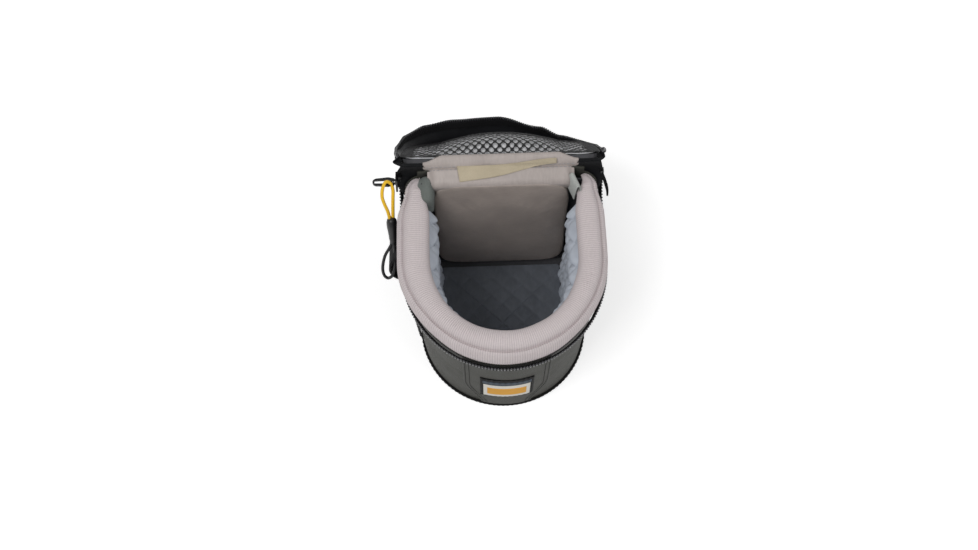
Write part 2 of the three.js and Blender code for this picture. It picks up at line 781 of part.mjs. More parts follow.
function rectangle(low, high, from, to) {
  return [[low, from], [high, from], [high, to], [low, to]];
}

// The tapes narrow as they turn up the rear corners.
function tapeWidthAt(station, width) {
  return station.kind === 'turn' ? width * lerp(1, 0.45, station.angle / zipTurnAngle) : width;
}

function makeBodyZip() {
  const stations = zipStations(zipTurnAngle, 5, frontSegments);
  const tapeOuter = tapeInner + tapeThickness;
  const tape = (station) => (
    rectangle(tapeInner, tapeOuter, -tapeWidthAt(station, bodyTapeWidth), -chainSlit)
  );
  add(pouch, 'zip_tape_body', zipBand(stations, tape), tapeCloth);
  const chain = () => rectangle(chainInner, chainOuter, -chainSlit - chainWidth, -chainSlit);
  add(pouch, 'zip_chain_body', zipBand(stations, chain), chainPlastic);
  [['zip_stop_left', -1], ['zip_stop_right', 1]].forEach(([name, side]) => {
    const stop = boxBetween(
      new THREE.Vector3(chainInner, touchGap, -chainWidth - chainSlit),
      new THREE.Vector3(chainOuter, touchGap + chainThickness, chainSlit),
    );
    if (side < 0) stop.rotateY(2 * right);
    if (side < 0) stop.translate(0, 0, -chainWidth);
    const mesh = add(pouch, name, stop, blackMetal);
    mesh.rotation.x = zipTurnAngle;
    const height = zipTurnHeight - zipTurnRadius * Math.cos(zipTurnAngle);
    mesh.position.set(side * mouthHalfWidth, zipEndDepth, height);
  });
}

// Loose ends of the zip's tape, which flare out from the rear corners.
function makeTapeTails() {
  const length = 2 * bodyTapeWidth;
  const outline = new THREE.Shape([
    new THREE.Vector2(0, -bodyTapeWidth / 3), new THREE.Vector2(0, bodyTapeWidth / 3),
    new THREE.Vector2(-length * 0.7, bodyTapeWidth / 3), new THREE.Vector2(-length, 0),
    new THREE.Vector2(-length * 0.8, -bodyTapeWidth / 3),
  ]);
  const flare = THREE.MathUtils.degToRad(7);
  const geometry = new THREE.ExtrudeGeometry(outline, { depth: tapeThickness, bevelEnabled: false });
  geometry.rotateX(right);
  geometry.rotateZ(right);
  const tail = add(pouch, 'zip_tail_right', geometry, tapeCloth);
  tail.rotation.z = flare;
  const clear = chainOuter + touchGap + tapeThickness;
  tail.position.set(mouthHalfWidth + clear, zipEndDepth, zipHeight + zipTurnRadius / 3);
}

// The lid's group sits on the hinge line. Its pieces are drawn closed and the group turns them open.
function makeLid() {
  const lid = new THREE.Group();
  lid.position.set(0, backDepth, hingeHeight);
  lid.rotation.x = -lidOpenAngle;
  pouch.add(lid);
  const addLid = (name, geometry, material) => {
    geometry.translate(0, -backDepth, -hingeHeight);
    add(lid, name, geometry, material);
  };
  const backEdge = backDepth - lidHingeMargin;
  const lidOutline = (offset) => outlineAt(zipHeight, offset).map((point) => (
    new THREE.Vector2(point.x, Math.min(point.y, backEdge))
  ));
  const centre = new THREE.Vector2(0, (lidCrownFront + lidCrownBack) / 2);
  const crownAt = (x, y) => {
    const across = clamp(1 - (x / lidCrownHalfWidth) ** 2, 0, 1);
    const middle = (lidCrownFront + lidCrownBack) / 2;
    const reach = (lidCrownBack - lidCrownFront) / 2;
    const along = clamp(1 - ((y - middle) / reach) ** 4, 0, 1);
    return lidCrown * across * along;
  };
  const layer = (name, offset, top, thickness, crowns, material) => {
    const upper = (x, y) => lidPlaneAt(y) - top - (crowns > 1 ? crownAt(x, y) : 0);
    const lower = (x, y) => lidPlaneAt(y) - top - thickness - (crowns > 0 ? crownAt(x, y) : 0);
    const shares = crowns > 0 ? [1, 0.88, 0.76, 0.62, 0.44, 0.24] : [1, 0.6];
    addLid(name, pad(lidOutline(offset), centre, upper, lower, shares), material);
  };
  const shellOffset = skirtInner + skirtThickness;
  layer('lid_shell', shellOffset, 0, lidShellThickness, 0, blackNylon);
  const foamTop = lidShellThickness + touchGap;
  layer('lid_foam', tapeInner, foamTop, lidFoamThickness, 1, foam);
  const liningTopDrop = foamTop + lidFoamThickness + touchGap;
  layer('lid_lining', tapeInner, liningTopDrop, lidLiningThickness, 2, paleBand);

  const skirtStations = zipStations(zipTurnAngle, 5, frontSegments);
  const skirtRings = skirtStations.map((station) => {
    const angle = station.kind === 'turn' ? station.angle : 0;
    const rise = station.kind === 'turn' ? zipTurnRadius * (1 - Math.cos(angle)) : 0;
    const edge = (offset, across) => {
      const point = placeOnWall(station, zipHeight, offset);
      point.z += rise + across * Math.cos(angle);
      point.y -= across * Math.sin(angle);
      return point;
    };
    const crest = (offset) => {
      const point = placeOnWall(station, zipHeight, offset);
      point.z = lidPlaneAt(point.y) - lidShellThickness - touchGap;
      return point;
    };
    const outer = skirtInner + skirtThickness;
    const low = [edge(skirtInner, skirtAboveZip), edge(outer, skirtAboveZip)];
    return [...low, crest(outer), crest(skirtInner)];
  });
  const skirtOutline = rectangle(0, skirtThickness, 0, hingeHeight - zipHeight);
  addLid('lid_skirt', skinned(skirtRings, false, skirtOutline), blackNylon);
  const tapeSection = (station) => (
    rectangle(tapeInner, tapeInner + tapeThickness, chainSlit, tapeWidthAt(station, lidTapeWidth))
  );
  addLid('zip_tape_lid', zipBand(skirtStations, tapeSection), tapeCloth);
  const chain = () => rectangle(chainInner, chainOuter, chainSlit, chainSlit + chainWidth);
  addLid('zip_chain_lid', zipBand(skirtStations, chain), chainPlastic);

  const bindingStations = depthStations(zipEndDepth, 4, frontSegments);
  const bindingOffset = shellOffset + touchGap + lidBindingRadius;
  const binding = (station) => {
    const depth = placeOnWall(station, zipHeight, bindingOffset).y;
    return ringSection(bindingOffset, lidPlaneAt(depth) - lidShellThickness / 2, lidBindingRadius);
  };
  addLid('lid_binding', wallBand(bindingStations, binding), webbing);

  makeNet(addLid, lidOutline, crownAt, liningTopDrop + lidLiningThickness + touchGap);
}

// The open net over the lid's lining: a staggered lattice of diamond gaps inside a plain border.
function makeNet(addLid, lidOutline, crownAt, top) {
  const edge = lidOutline(-netInset);
  const hemBack = backInner - touchGap;
  const hemEdge = hemBack - netHemWidth - touchGap;
  const border = edge.map((point) => new THREE.Vector2(point.x, Math.min(point.y, hemEdge)));
  const shape = new THREE.Shape(border.filter((point, i) => {
    const next = border[(i + 1) % border.length];
    return point.distanceTo(next) > touchGap;
  }));
  const halfGapWide = (netPitchWide - netStrand) / 2;
  const halfGapDeep = (netPitchDeep - netStrand) / 2;
  const inside = (x, y) => {
    const margin = netStrand / 2;
    const halfWidth = mouthHalfWidth - netInset - margin - Math.abs(x) - halfGapWide;
    if (y + halfGapDeep > hemEdge - margin || halfWidth < 0) return false;
    const frontRadius = mouthFrontDepth - netInset - margin - halfGapDeep;
    const sideRadius = mouthHalfWidth - netInset - margin - halfGapWide;
    return y > 0 || (x / sideRadius) ** 2 + (y / frontRadius) ** 2 < 1;
  };
  const rows = Math.ceil((2 * mouthFrontDepth) / netPitchDeep) * 2;
  const columns = Math.ceil((2 * mouthHalfWidth) / netPitchWide);
  for (let row = -rows; row <= rows; row += 1) {
    for (let column = -columns; column <= columns; column += 1) {
      const x = (column + (Math.abs(row) % 2) / 2) * netPitchWide;
      const y = row * netPitchDeep / 2;
      if (inside(x, y)) {
        shape.holes.push(new THREE.Path([
          new THREE.Vector2(x - halfGapWide, y), new THREE.Vector2(x, y - halfGapDeep),
          new THREE.Vector2(x + halfGapWide, y), new THREE.Vector2(x, y + halfGapDeep),
        ]));
      }
    }
  }
  const net = new THREE.ExtrudeGeometry(shape, { depth: -netThickness, bevelEnabled: false });
  const position = net.getAttribute('position');
  for (let i = 0; i < position.count; i += 1) {
    const x = position.getX(i);
    const y = position.getY(i);
    const middle = (lidCrownFront + lidCrownBack) / 2;
    const reach = Math.hypot(x / lidCrownHalfWidth, (y - middle) / (lidCrownBack - middle));
    const level = Math.max(smooth(reach, 1.2, 1.4), smooth(y, lidCrownBack, lidCrownBack + netTaper));
    const clearance = lerp(netClearance, 0, level);
    position.setZ(i, position.getZ(i) + lidPlaneAt(y) - top - clearance - crownAt(x, y));
  }
  const bare = mergeVertices(new THREE.BufferGeometry().setAttribute('position', position), 1e-4);
  addLid('net_pocket', facingOut(bare), webbing);
  const hemHalfWidth = mouthHalfWidth - backCornerRadius;
  const low = new THREE.Vector3(-hemHalfWidth, hemEdge + touchGap, 0);
  const high = new THREE.Vector3(hemHalfWidth, hemBack, 0);
  low.z = lidPlaneAt(high.y) - top - netThickness;
  high.z = lidPlaneAt(high.y) - top;
  addLid('net_hem', boxBetween(low, high), webbing);
}

// The slider's frame: X points out of the left wall's inside, Y runs up the zip, Z across it.
function makeSlider() {
  const height = zipTurnHeight - zipTurnRadius * Math.cos(sliderAngle);
  const depth = zipTurnDepth + zipTurnRadius * Math.sin(sliderAngle);
  const frame = new THREE.Group();
  frame.position.set(-mouthHalfWidth, depth, height);
  frame.rotation.x = sliderAngle;
  pouch.add(frame);
  const plateInner = chainOuter + touchGap;
  const plateOuter = plateInner + sliderPlateThickness;
  const lipReach = chainWidth + chainSlit + touchGap;
  const halfWidth = lipReach + sliderLipWidth;
  const half = sliderLength / 2;
  const plate = boxBetween(
    new THREE.Vector3(-plateOuter, -half, -halfWidth),
    new THREE.Vector3(-plateInner, half, halfWidth),
  );
  const lip = boxBetween(
    new THREE.Vector3(-plateInner - touchGap, -half, -halfWidth),
    new THREE.Vector3(-chainInner - touchGap, half, -lipReach),
  );
  const bailOuter = plateOuter + bailHeight;
  const bail = new THREE.Shape();
  bail.moveTo(-bailBaseHalf, 0);
  bail.lineTo(-bailTopHalf, bailHeight);
  bail.lineTo(bailTopHalf, bailHeight);
  bail.lineTo(bailBaseHalf, 0);
  bail.closePath();
  const eye = new THREE.Path();
  eye.moveTo(-bailEyeHalf, bailEyeLow);
  eye.lineTo(bailEyeHalf, bailEyeLow);
  eye.lineTo(bailEyeHalf, bailEyeHigh);
  eye.lineTo(-bailEyeHalf, bailEyeHigh);
  eye.closePath();
  bail.holes.push(eye);
  const arch = new THREE.ExtrudeGeometry(bail, { depth: bailThickness, bevelEnabled: false });
  arch.rotateZ(right);
  arch.translate(-plateOuter + touchGap / 3, 0, -bailThickness / 2);
  const body = toSolid(plate).add(toSolid(lip)).add(toSolid(arch));
  add(frame, 'zip_slider', fromSolid(body), blackMetal);
  makePullTab(frame, plateOuter, bailOuter);
}

// The tab hangs from the bail and points straight out from the wall.
function makePullTab(frame, plateOuter, bailOuter) {
  const start = plateOuter + bailEyeLow + touchGap;
  const barEnd = plateOuter + bailEyeHigh - 2 * touchGap;
  const end = bailOuter + tabLength;
  const halfTab = tabWidth / 2;
  const outline = new THREE.Shape();
  outline.moveTo(-start, -halfTab * 0.7);
  outline.lineTo(-start, halfTab * 0.7);
  outline.lineTo(-bailOuter - halfTab / 2, halfTab);
  outline.lineTo(-end + halfTab, halfTab * 0.8);
  outline.absarc(-end + halfTab * 0.8, 0, halfTab * 0.8, right, 3 * right, false);
  outline.lineTo(-bailOuter - halfTab / 2, -halfTab);
  outline.closePath();
  const eye = new THREE.Path();
  const eyeEnd = bailOuter + tabEyeMargin;
  eye.moveTo(-barEnd, -bailThickness / 2 - touchGap);
  eye.lineTo(-eyeEnd, -bailThickness / 2 - touchGap);
  eye.lineTo(-eyeEnd, bailThickness / 2 + touchGap);
  eye.lineTo(-barEnd, bailThickness / 2 + touchGap);
  eye.closePath();
  const slot = new THREE.Path();
  const slotStart = eyeEnd + tabBarWidth;
  slot.moveTo(-slotStart, -tabSlotWidth / 2);
  slot.lineTo(-slotStart - tabSlotLength, -tabSlotWidth / 2.6);
  slot.lineTo(-slotStart - tabSlotLength, tabSlotWidth / 2.6);
  slot.lineTo(-slotStart, tabSlotWidth / 2);
  slot.closePath();
  outline.holes.push(eye, slot);
  const geometry = new THREE.ExtrudeGeometry(outline, {
    depth: tabThickness, bevelEnabled: false, curveSegments: 8,
  });
  geometry.rotateX(right);
  geometry.translate(0, tabThickness / 2, 0);
  add(frame, 'pull_tab', geometry, blackMetal);
  const railMiddle = (halfTab + tabSlotWidth / 2) / 2;
  const bar = new THREE.Vector3(-slotStart - cordRadius - cordToSlotEnd, 0, railMiddle);
  frame.updateMatrixWorld(true);
  makeCordPull(frame.localToWorld(bar));
}

// A loop of cord over the tab's front bar, and the moulded grip that holds both its ends.
function makeCordPull(bar) {
  const pull = new THREE.Group();
  pull.position.copy(bar);
  const down = new THREE.Vector3(-0.04, -0.57, -0.82).normalize();
  const spread = new THREE.Vector3(0, down.z, -down.y).normalize();
  const out = new THREE.Vector3().crossVectors(spread, down);
  pull.setRotationFromMatrix(new THREE.Matrix4().makeBasis(out, spread, down));
  pouch.add(pull);
  const barReach = tabWidth / 2 - tabSlotWidth / 2;
  const wrap = barReach / 2 + cordRadius + 2 * touchGap;
  const gripStart = 25;
  const points = [
    [0, 1, gripStart], [0, 1.1, 20], [0.2, 2.2, 14], [0.4, 3, 8], [0.2, 2.6, 3],
    [0, 1.2, -wrap], [0, -1.2, -wrap], [0, -2.6, 3], [-0.4, -3, 8], [-0.2, -2.2, 14],
    [0, -1.1, 20], [0, -1, gripStart],
  ].map(([x, y, z]) => new THREE.Vector3(x, y, z));
  add(pull, 'pull_cord', tube(points, cordRadius, 6, 40), yellowCord);
  const gripTop = gripStart + touchGap;
  const bore = [
    [0, gripTop], [gripRadius * 0.8, gripTop], [gripRadius, gripTop + gripRadius / 2],
    [gripRadius * 0.75, gripTop + gripLength], [0, gripTop + gripLength],
  ];
  const sleeve = new THREE.LatheGeometry(bore.map(([r, h]) => new THREE.Vector2(r, h)), 12);
  sleeve.rotateX(right);
  const neck = gripTop + gripLength - gripLoopRadius;
  const wide = gripLoopHalfWidth;
  const loopPoints = [
    [-gripRadius * 0.3, 0], [-wide * 0.45, 0.2], [-wide * 0.95, 0.55], [-wide * 0.8, 0.86],
    [0, 1], [wide * 0.8, 0.86], [wide * 0.95, 0.55], [wide * 0.45, 0.2], [gripRadius * 0.3, 0],
  ].map(([x, share]) => new THREE.Vector3(x, 0, neck + share * gripLoopLength));
  const teardrop = tube(loopPoints, gripLoopRadius, 8, 32);
  add(pull, 'pull_grip', fromSolid(toSolid(sleeve).add(toSolid(teardrop))), blackRubber);
}

makeShell();
makeBase();
makeWallPadding();
makeCollar();
makeBack();
makeCornerTabs();
makeFront();
makeBeltLoop();
makeSideStrap();
makeBodyZip();
makeTapeTails();
makeLid();
makeSlider();

export default pouch;
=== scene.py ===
"""A padded lens pouch that stands open, its zip-round lid thrown back behind it.

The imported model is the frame. Every soft piece is modelled here around it, in metres, with the origin at the
middle of the underside, the front facing -Y and the lid hinged at +Y.
"""

import json
import logging
import math
from bisect import bisect_right
from dataclasses import dataclass
from enum import Enum
from functools import cached_property, lru_cache
from typing import Callable, Mapping, Optional, Sequence, Tuple, Union

import bmesh
import bpy
from mathutils import Matrix, Vector, kdtree, noise


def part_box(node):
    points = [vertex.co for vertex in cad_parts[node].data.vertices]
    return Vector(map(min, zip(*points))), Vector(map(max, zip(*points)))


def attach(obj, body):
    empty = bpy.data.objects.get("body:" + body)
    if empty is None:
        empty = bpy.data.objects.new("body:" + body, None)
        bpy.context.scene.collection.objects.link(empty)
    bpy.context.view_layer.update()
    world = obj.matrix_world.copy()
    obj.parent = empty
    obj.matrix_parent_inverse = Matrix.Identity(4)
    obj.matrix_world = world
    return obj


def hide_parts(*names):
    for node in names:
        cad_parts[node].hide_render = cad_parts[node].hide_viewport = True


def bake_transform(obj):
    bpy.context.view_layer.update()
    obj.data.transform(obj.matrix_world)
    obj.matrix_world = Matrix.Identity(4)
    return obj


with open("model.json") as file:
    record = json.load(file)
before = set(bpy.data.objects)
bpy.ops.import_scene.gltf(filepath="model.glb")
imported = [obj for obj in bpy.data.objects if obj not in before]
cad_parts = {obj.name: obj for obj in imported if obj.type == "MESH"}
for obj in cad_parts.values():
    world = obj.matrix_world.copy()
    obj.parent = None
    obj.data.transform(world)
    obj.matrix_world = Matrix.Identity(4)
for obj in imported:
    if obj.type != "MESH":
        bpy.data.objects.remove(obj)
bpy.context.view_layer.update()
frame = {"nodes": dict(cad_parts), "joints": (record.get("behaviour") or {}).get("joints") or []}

MM = 0.001
RIGHT = math.pi / 2
TAPE_OFFSET = 1.2 * MM
EDGE_BELOW_ZIP = 1.4 * MM
CORNER_DIP = 6.5 * MM
BINDING_ROUND = 8 * MM
BMesh = bmesh.types.BMesh
Place = Callable[[float, float], Vector]
Colour = Tuple[float, float, float]

log = logging.getLogger("pouch")


@lru_cache(maxsize=None)
def box_of(node: str) -> Tuple[Vector, Vector]:
    """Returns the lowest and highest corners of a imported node."""
    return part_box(node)


def joint_place(name: str) -> Sequence[float]:
    """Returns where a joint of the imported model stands, in metres."""
    joint = next(joint for joint in frame["joints"] if joint["name"] == name)
    return joint["pos_m"] if "pos_m" in joint else joint["pos"]


def lerp(low: float, high: float, share: float) -> float:
    """Returns the value at a share of the way from low to high."""
    return low + (high - low) * share


def clamp(value: float, low: float = 0.0, high: float = 1.0) -> float:
    """Returns the value held between low and high."""
    return min(max(value, low), high)


def smooth(value: float, low: float = 0.0, high: float = 1.0) -> float:
    """Returns 0 below low, 1 above high and a smooth step between them."""
    share = clamp((value - low) / (high - low))
    return share * share * (3 - 2 * share)


def arch(share: float) -> float:
    """Returns 0 at either end of a share and 1 in its middle."""
    return math.sin(math.pi * share)


def square_reach(angle: float, power: float) -> float:
    """Returns how far a rounded square of half width 1 reaches at an angle, its power 2 for a circle."""
    return (abs(math.cos(angle)) ** power + abs(math.sin(angle)) ** power) ** (-1 / power)


def wander(point: Vector, scale: float, seed: float = 0.0) -> float:
    """Returns smooth noise from -1 to 1 at a point, with lumps of the given size."""
    return noise.noise(point / scale + Vector((seed, seed * 1.7, -seed)))


def tint(code: str) -> Colour:
    """Returns the linear colour of an sRGB hex code such as 4b4b46."""
    parts = [int(code[i:i + 2], 16) / 255 for i in (0, 2, 4)]
    return tuple(((c + 0.055) / 1.055) ** 2.4 if c > 0.04045 else c / 12.92 for c in parts)


class Signal:
    """A shader socket that takes part in plain arithmetic."""

    def __init__(self, graph: "Graph", socket: bpy.types.NodeSocket) -> None:
        """Wraps a socket of a graph."""
        self.graph = graph
        self.socket = socket

    def _math(self, operation: str, first: "Term", second: "Term" = 0.0) -> "Signal":
        """Returns a Math node's result on one or two terms."""
        return self.graph.node("ShaderNodeMath", {"operation": operation}, {0: first, 1: second})

    def __add__(self, other: "Term") -> "Signal":
        """Returns the sum."""
        return self._math("ADD", self, other)

    __radd__ = __add__

    def __sub__(self, other: "Term") -> "Signal":
        """Returns the difference."""
        return self._math("SUBTRACT", self, other)

    def __mul__(self, other: "Term") -> "Signal":
        """Returns the product."""
        return self._math("MULTIPLY", self, other)

    __rmul__ = __mul__

    def sine(self) -> "Signal":
        """Returns the sine."""
        return self._math("SINE", self)

    def size(self) -> "Signal":
        """Returns the value without its sign."""
        return self._math("ABSOLUTE", self)

    def power(self, exponent: float) -> "Signal":
        """Returns the value raised to an exponent."""
        return self._math("POWER", self, exponent)

    def larger(self, other: "Term") -> "Signal":
        """Returns the larger of two values."""
        return self._math("MAXIMUM", self, other)


Term = Union[Signal, float]


class Graph:
    """A material's node tree with one Principled surface."""

    def __init__(self, name: str) -> None:
        """Starts an empty material."""
        self.material = bpy.data.materials.new(name)
        self.material.use_nodes = True
        self.tree = self.material.node_tree
        self.tree.nodes.clear()

    def node(self, kind: str, settings: Optional[Mapping] = None, inputs: Optional[Mapping] = None,
             output: Union[int, str] = 0) -> Signal:
        """Adds a node.

        Args:
            kind: the node's type.
            settings: its own settings, set first. "stops" gives a ramp's positions and colours.
            inputs: values or signals for its sockets.
            output: which of its outputs is wanted.

        Returns:
            The signal of that output.
        """
        made = self.tree.nodes.new(kind)
        for key, value in (settings or {}).items():
            if key == "stops":
                for _ in value[2:]:
                    made.color_ramp.elements.new(1.0)
                for element, (position, colour) in zip(made.color_ramp.elements, value):
                    element.position = position
                    element.color = (*colour, 1)
            else:
                setattr(made, key, value)
        for key, value in (inputs or {}).items():
            if isinstance(value, Signal):
                self.tree.links.new(value.socket, made.inputs[key])
            else:
                made.inputs[key].default_value = value
        return Signal(self, made.outputs[output])

    def mix(self, mask: Term, first: Union[Signal, Colour], second: Union[Signal, Colour]) -> Signal:
        """Returns a colour between two, by a mask."""
        ends = [c if isinstance(c, Signal) else (*c, 1) for c in (first, second)]
        return self.node("ShaderNodeMix", {"data_type": "RGBA"}, {0: mask, 6: ends[0], 7: ends[1]}, 2)

    def mottle(self, size: float, detail: float = 3.0, stretch: Tuple[float, float, float] = (1, 1, 1)) -> Signal:
        """Returns noise on object coordinates.

        Args:
            size: how large its lumps are.
            detail: how many finer layers it has.
            stretch: how much finer it is along each axis.

        Returns:
            The noise, about 0 to 1.
        """
        where = self.node("ShaderNodeTexCoord", output="Object")
        mapped = self.node("ShaderNodeMapping", {}, {"Vector": where, "Scale": stretch})
        return self.node("ShaderNodeTexNoise", {}, {"Vector": mapped, "Scale": 1 / size, "Detail": detail})

    def across(self) -> Tuple[Signal, Signal]:
        """Returns the piece's own two cloth coordinates, in metres."""
        where = self.node("ShaderNodeTexCoord", output="UV")
        split = [self.node("ShaderNodeSeparateXYZ", {}, {0: where}, axis) for axis in (0, 1)]
        return split[0], split[1]

    def surface(self, constants: Mapping, colour: Union[Signal, Colour], roughness: Term,
                height: Optional[Signal] = None, depth: float = 0.0) -> bpy.types.Material:
        """Closes the graph with its surface.

        Args:
            constants: values set on the shader's own sockets.
            colour: the base colour.
            roughness: the roughness.
            height: the relief, 0 to 1, if there is one.
            depth: how deep that relief is, in metres.

        Returns:
            The finished material.
        """
        inputs = {**constants, "Roughness": roughness}
        inputs["Base Color"] = colour if isinstance(colour, Signal) else (*colour, 1)
        if height is not None:
            inputs["Normal"] = self.node("ShaderNodeBump", {}, {"Height": height, "Distance": depth}, "Normal")
        shader = self.node("ShaderNodeBsdfPrincipled", {}, inputs)
        self.node_output(shader)
        return self.material

    def node_output(self, shader: Signal) -> None:
        """Joins a shader to the material's output."""
        out = self.tree.nodes.new("ShaderNodeOutputMaterial")
        self.tree.links.new(shader.socket, out.inputs["Surface"])


class Weave(Enum):
    """How a cloth's threads run."""

    PLAIN = "plain"
    TWILL = "twill"
    RIB = "rib"
    WAFFLE = "waffle"
    KNIT = "knit"


@dataclass(frozen=True)
class ClothFinish:
    """A woven or knitted cloth, drawn on the piece's own cloth coordinates, with painted shade in the gaps between its
    threads.
    """

    name: str
    colour: str
    shade: str
    weave: Weave
    pitch: float
    relief: float
    roughness: float = 0.8
    sheen: float = 0.03
    mottling: float = 0.25
    cross: float = 1.0
    lump_size: float = 12 * MM
    fuzz_size: float = 0.7 * MM
    specular: float = 0.12

    def height(self, graph: Graph) -> Signal:
        """Draws the relief of the threads.

        Args:
            graph: the material's graph.

        Returns:
            The relief, 0 in the gaps and 1 on the crowns.
        """
        u, v = graph.across()
        along = (u * (math.pi / self.pitch)).sine()
        over = (v * (math.pi / (self.pitch * self.cross))).sine()
        if self.weave is Weave.TWILL:
            return ((u + v) * (math.pi / self.pitch)).sine().size() * 0.7 + over.size() * 0.3
        if self.weave is Weave.RIB:
            return along.size().power(0.6) * 0.75 + over.size() * 0.25
        if self.weave is Weave.WAFFLE:
            return along.size().larger(over.size())
        if self.weave is Weave.KNIT:
            bent = (v * (math.pi / (self.pitch * self.cross)) + along.size() * 1.1).sine()
            return along.size().power(0.5) * 0.6 + bent.size() * 0.4
        return along * over * 0.5 + 0.5

    def build(self) -> bpy.types.Material:
        """Returns the material."""
        graph = Graph(self.name)
        height = self.height(graph)
        lumps = graph.mottle(self.lump_size)
        fuzz = graph.mottle(self.fuzz_size, 2.0)
        # The tone darkens the gaps between threads by their relief, which is painted shade, and adds random mottling
        # and fuzz.
        painted_light_and_mottle = height * (1 - self.mottling) * 0.8 + lumps * self.mottling + fuzz * 0.2
        colour = graph.mix(painted_light_and_mottle, tint(self.shade), tint(self.colour))
        roughness = fuzz * 0.16 + (self.roughness - 0.08)
        constants = {"Sheen Weight": self.sheen, "Sheen Roughness": 0.5, "Specular IOR Level": self.specular}
        return graph.surface(constants, colour, roughness, height * 0.8 + fuzz * 0.2, self.relief)


@dataclass(frozen=True)
class SatinFinish:
    """A smooth lining cloth with a soft shine, fine streaks along one way that vary its roughness and paint sheen into
    its colour, and painted shade between its threads.
    """

    name: str
    colour: str
    shade: str
    roughness: float = 0.45
    pitch: float = 0.45 * MM
    sheen: float = 0.08
    stretch: Tuple[float, float, float] = (1, 1, 4)
    sheen_streak_size: float = 5 * MM
    lump_size: float = 16 * MM
    specular: float = 0.45
    relief: float = 0.12 * MM

    def build(self) -> bpy.types.Material:
        """Returns the material."""
        graph = Graph(self.name)
        u, v = graph.across()
        across, along = (way * (math.pi / self.pitch) for way in (v, u))
        threads = across.sine().size() * 0.6 + along.sine().size() * 0.4
        sheen_streaks = graph.mottle(self.sheen_streak_size, 4.0, self.stretch)
        lumps = graph.mottle(self.lump_size, 2.0)
        # The streaks in the colour are painted sheen, the threads add painted shade between them, and the lumps are
        # random tone.
        painted_light_and_mottle = threads * 0.2 + sheen_streaks * 0.35 + lumps * 0.45
        colour = graph.mix(painted_light_and_mottle, tint(self.shade), tint(self.colour))
        constants = {"Sheen Weight": self.sheen, "Sheen Roughness": 0.4, "Specular IOR Level": self.specular}
        roughness = sheen_streaks * 0.2 + (self.roughness - 0.1)
        return graph.surface(constants, colour, roughness, threads * 0.5 + sheen_streaks, self.relief)


@dataclass(frozen=True)
class HardFinish:
    """Moulded plastic, rubber, enamel or foam with a fine grain and worn, lighter patches."""

    name: str
    colour: str
    worn: str
    roughness: float
    grain: float
    relief: float
    metallic: float = 0.0
    coat: float = 0.0
    lump_share: float = 14

    def build(self) -> bpy.types.Material:
        """Returns the material."""
        graph = Graph(self.name)
        grain = graph.mottle(self.grain, 2.0)
        lumps = graph.mottle(self.grain * self.lump_share, 3.0)
        colour = graph.mix(lumps * 0.6 + grain * 0.2, tint(self.colour), tint(self.worn))
        constants = {"Metallic": self.metallic, "Coat Weight": self.coat, "Coat Roughness": 0.25}
        return graph.surface(constants, colour, lumps * 0.2 + (self.roughness - 0.1), grain, self.relief)


@dataclass(frozen=True)
class BraidFinish:
    """A round braided cord, drawn along and round its own coordinates, with painted shade between its strands."""

    name: str
    colour: str
    shade: str
    pitch: float
    fuzz_size: float = 0.4 * MM
    relief: float = 0.15 * MM

    def build(self) -> bpy.types.Material:
        """Returns the material."""
        graph = Graph(self.name)
        u, v = graph.across()
        left = ((u + v) * (math.pi / self.pitch)).sine().size()
        right = ((u - v) * (math.pi / self.pitch)).sine().size()
        height = left.larger(right)
        fuzz = graph.mottle(self.fuzz_size, 2.0)
        # The braid's relief also darkens the colour between the strands, which is painted shade.
        colour = graph.mix(height * 0.8 + fuzz * 0.2, tint(self.shade), tint(self.colour))
        constants = {"Sheen Weight": 0.25, "Sheen Roughness": 0.5}
        return graph.surface(constants, colour, fuzz * 0.2 + 0.5, height, self.relief)


BODY = ClothFinish("charcoal_nylon", "4a4a44", "292926", Weave.PLAIN, 0.55 * MM, 0.10 * MM, 0.62)
BLACK = ClothFinish("black_nylon_cloth", "202124", "0a0a0b", Weave.PLAIN, 0.5 * MM, 0.08 * MM, 0.45)
WEB = ClothFinish("black_web", "1d1d1f", "060607", Weave.RIB, 1.1 * MM, 0.25 * MM, 0.75)
BINDING = ClothFinish("bound_edge_tape", "222222", "090909", Weave.RIB, 0.8 * MM, 0.15 * MM, 0.75)
RIBBED = ClothFinish("ribbed_knit_cloth", "e2d8d8", "958b8e", Weave.KNIT, 1.5 * MM, 0.2 * MM, 0.9, 0.08, 0.12, 0.35)
RETURN = ClothFinish("grey_knit_cloth", "858b87", "363b38", Weave.KNIT, 1.1 * MM, 0.25 * MM, 0.9, 0.05, 0.3, 0.6)
WAFFLE = ClothFinish("pale_waffle_tape", "c9ccc8", "6f7470", Weave.WAFFLE, 1.1 * MM, 0.3 * MM, 0.85)
TAPE = ClothFinish("zip_tape_cloth", "161618", "060607", Weave.TWILL, 0.7 * MM, 0.12 * MM, 0.8)
TWILL = ClothFinish("label_cloth", "cfc3ab", "8f836c", Weave.TWILL, 0.45 * MM, 0.08 * MM, 0.85, 0.05, 0.45)
NET = ClothFinish("net_cord", "1c1c1e", "060607", Weave.RIB, 0.6 * MM, 0.1 * MM, 0.6)
FRAME_WEAVE = ClothFinish("white_weave", "f1eee6", "bfbab0", Weave.RIB, 0.5 * MM, 0.1 * MM, 0.8, 0.05, 0.1)
BLOCK_WEAVE = ClothFinish("yellow_block_weave", "f2b548", "c07f20", Weave.RIB, 0.5 * MM, 0.1 * MM, 0.8, 0.05, 0.3)
EDGE_WEAVE = ClothFinish("blue_grey_weave", "4a545f", "0c0e11", Weave.WAFFLE, 3.6 * MM, 0.15 * MM, 0.8, 0.05, 0.1)
THREAD = ClothFinish("sewing_thread", "2e2e2c", "161615", Weave.TWILL, 0.3 * MM, 0.05 * MM, 0.6)
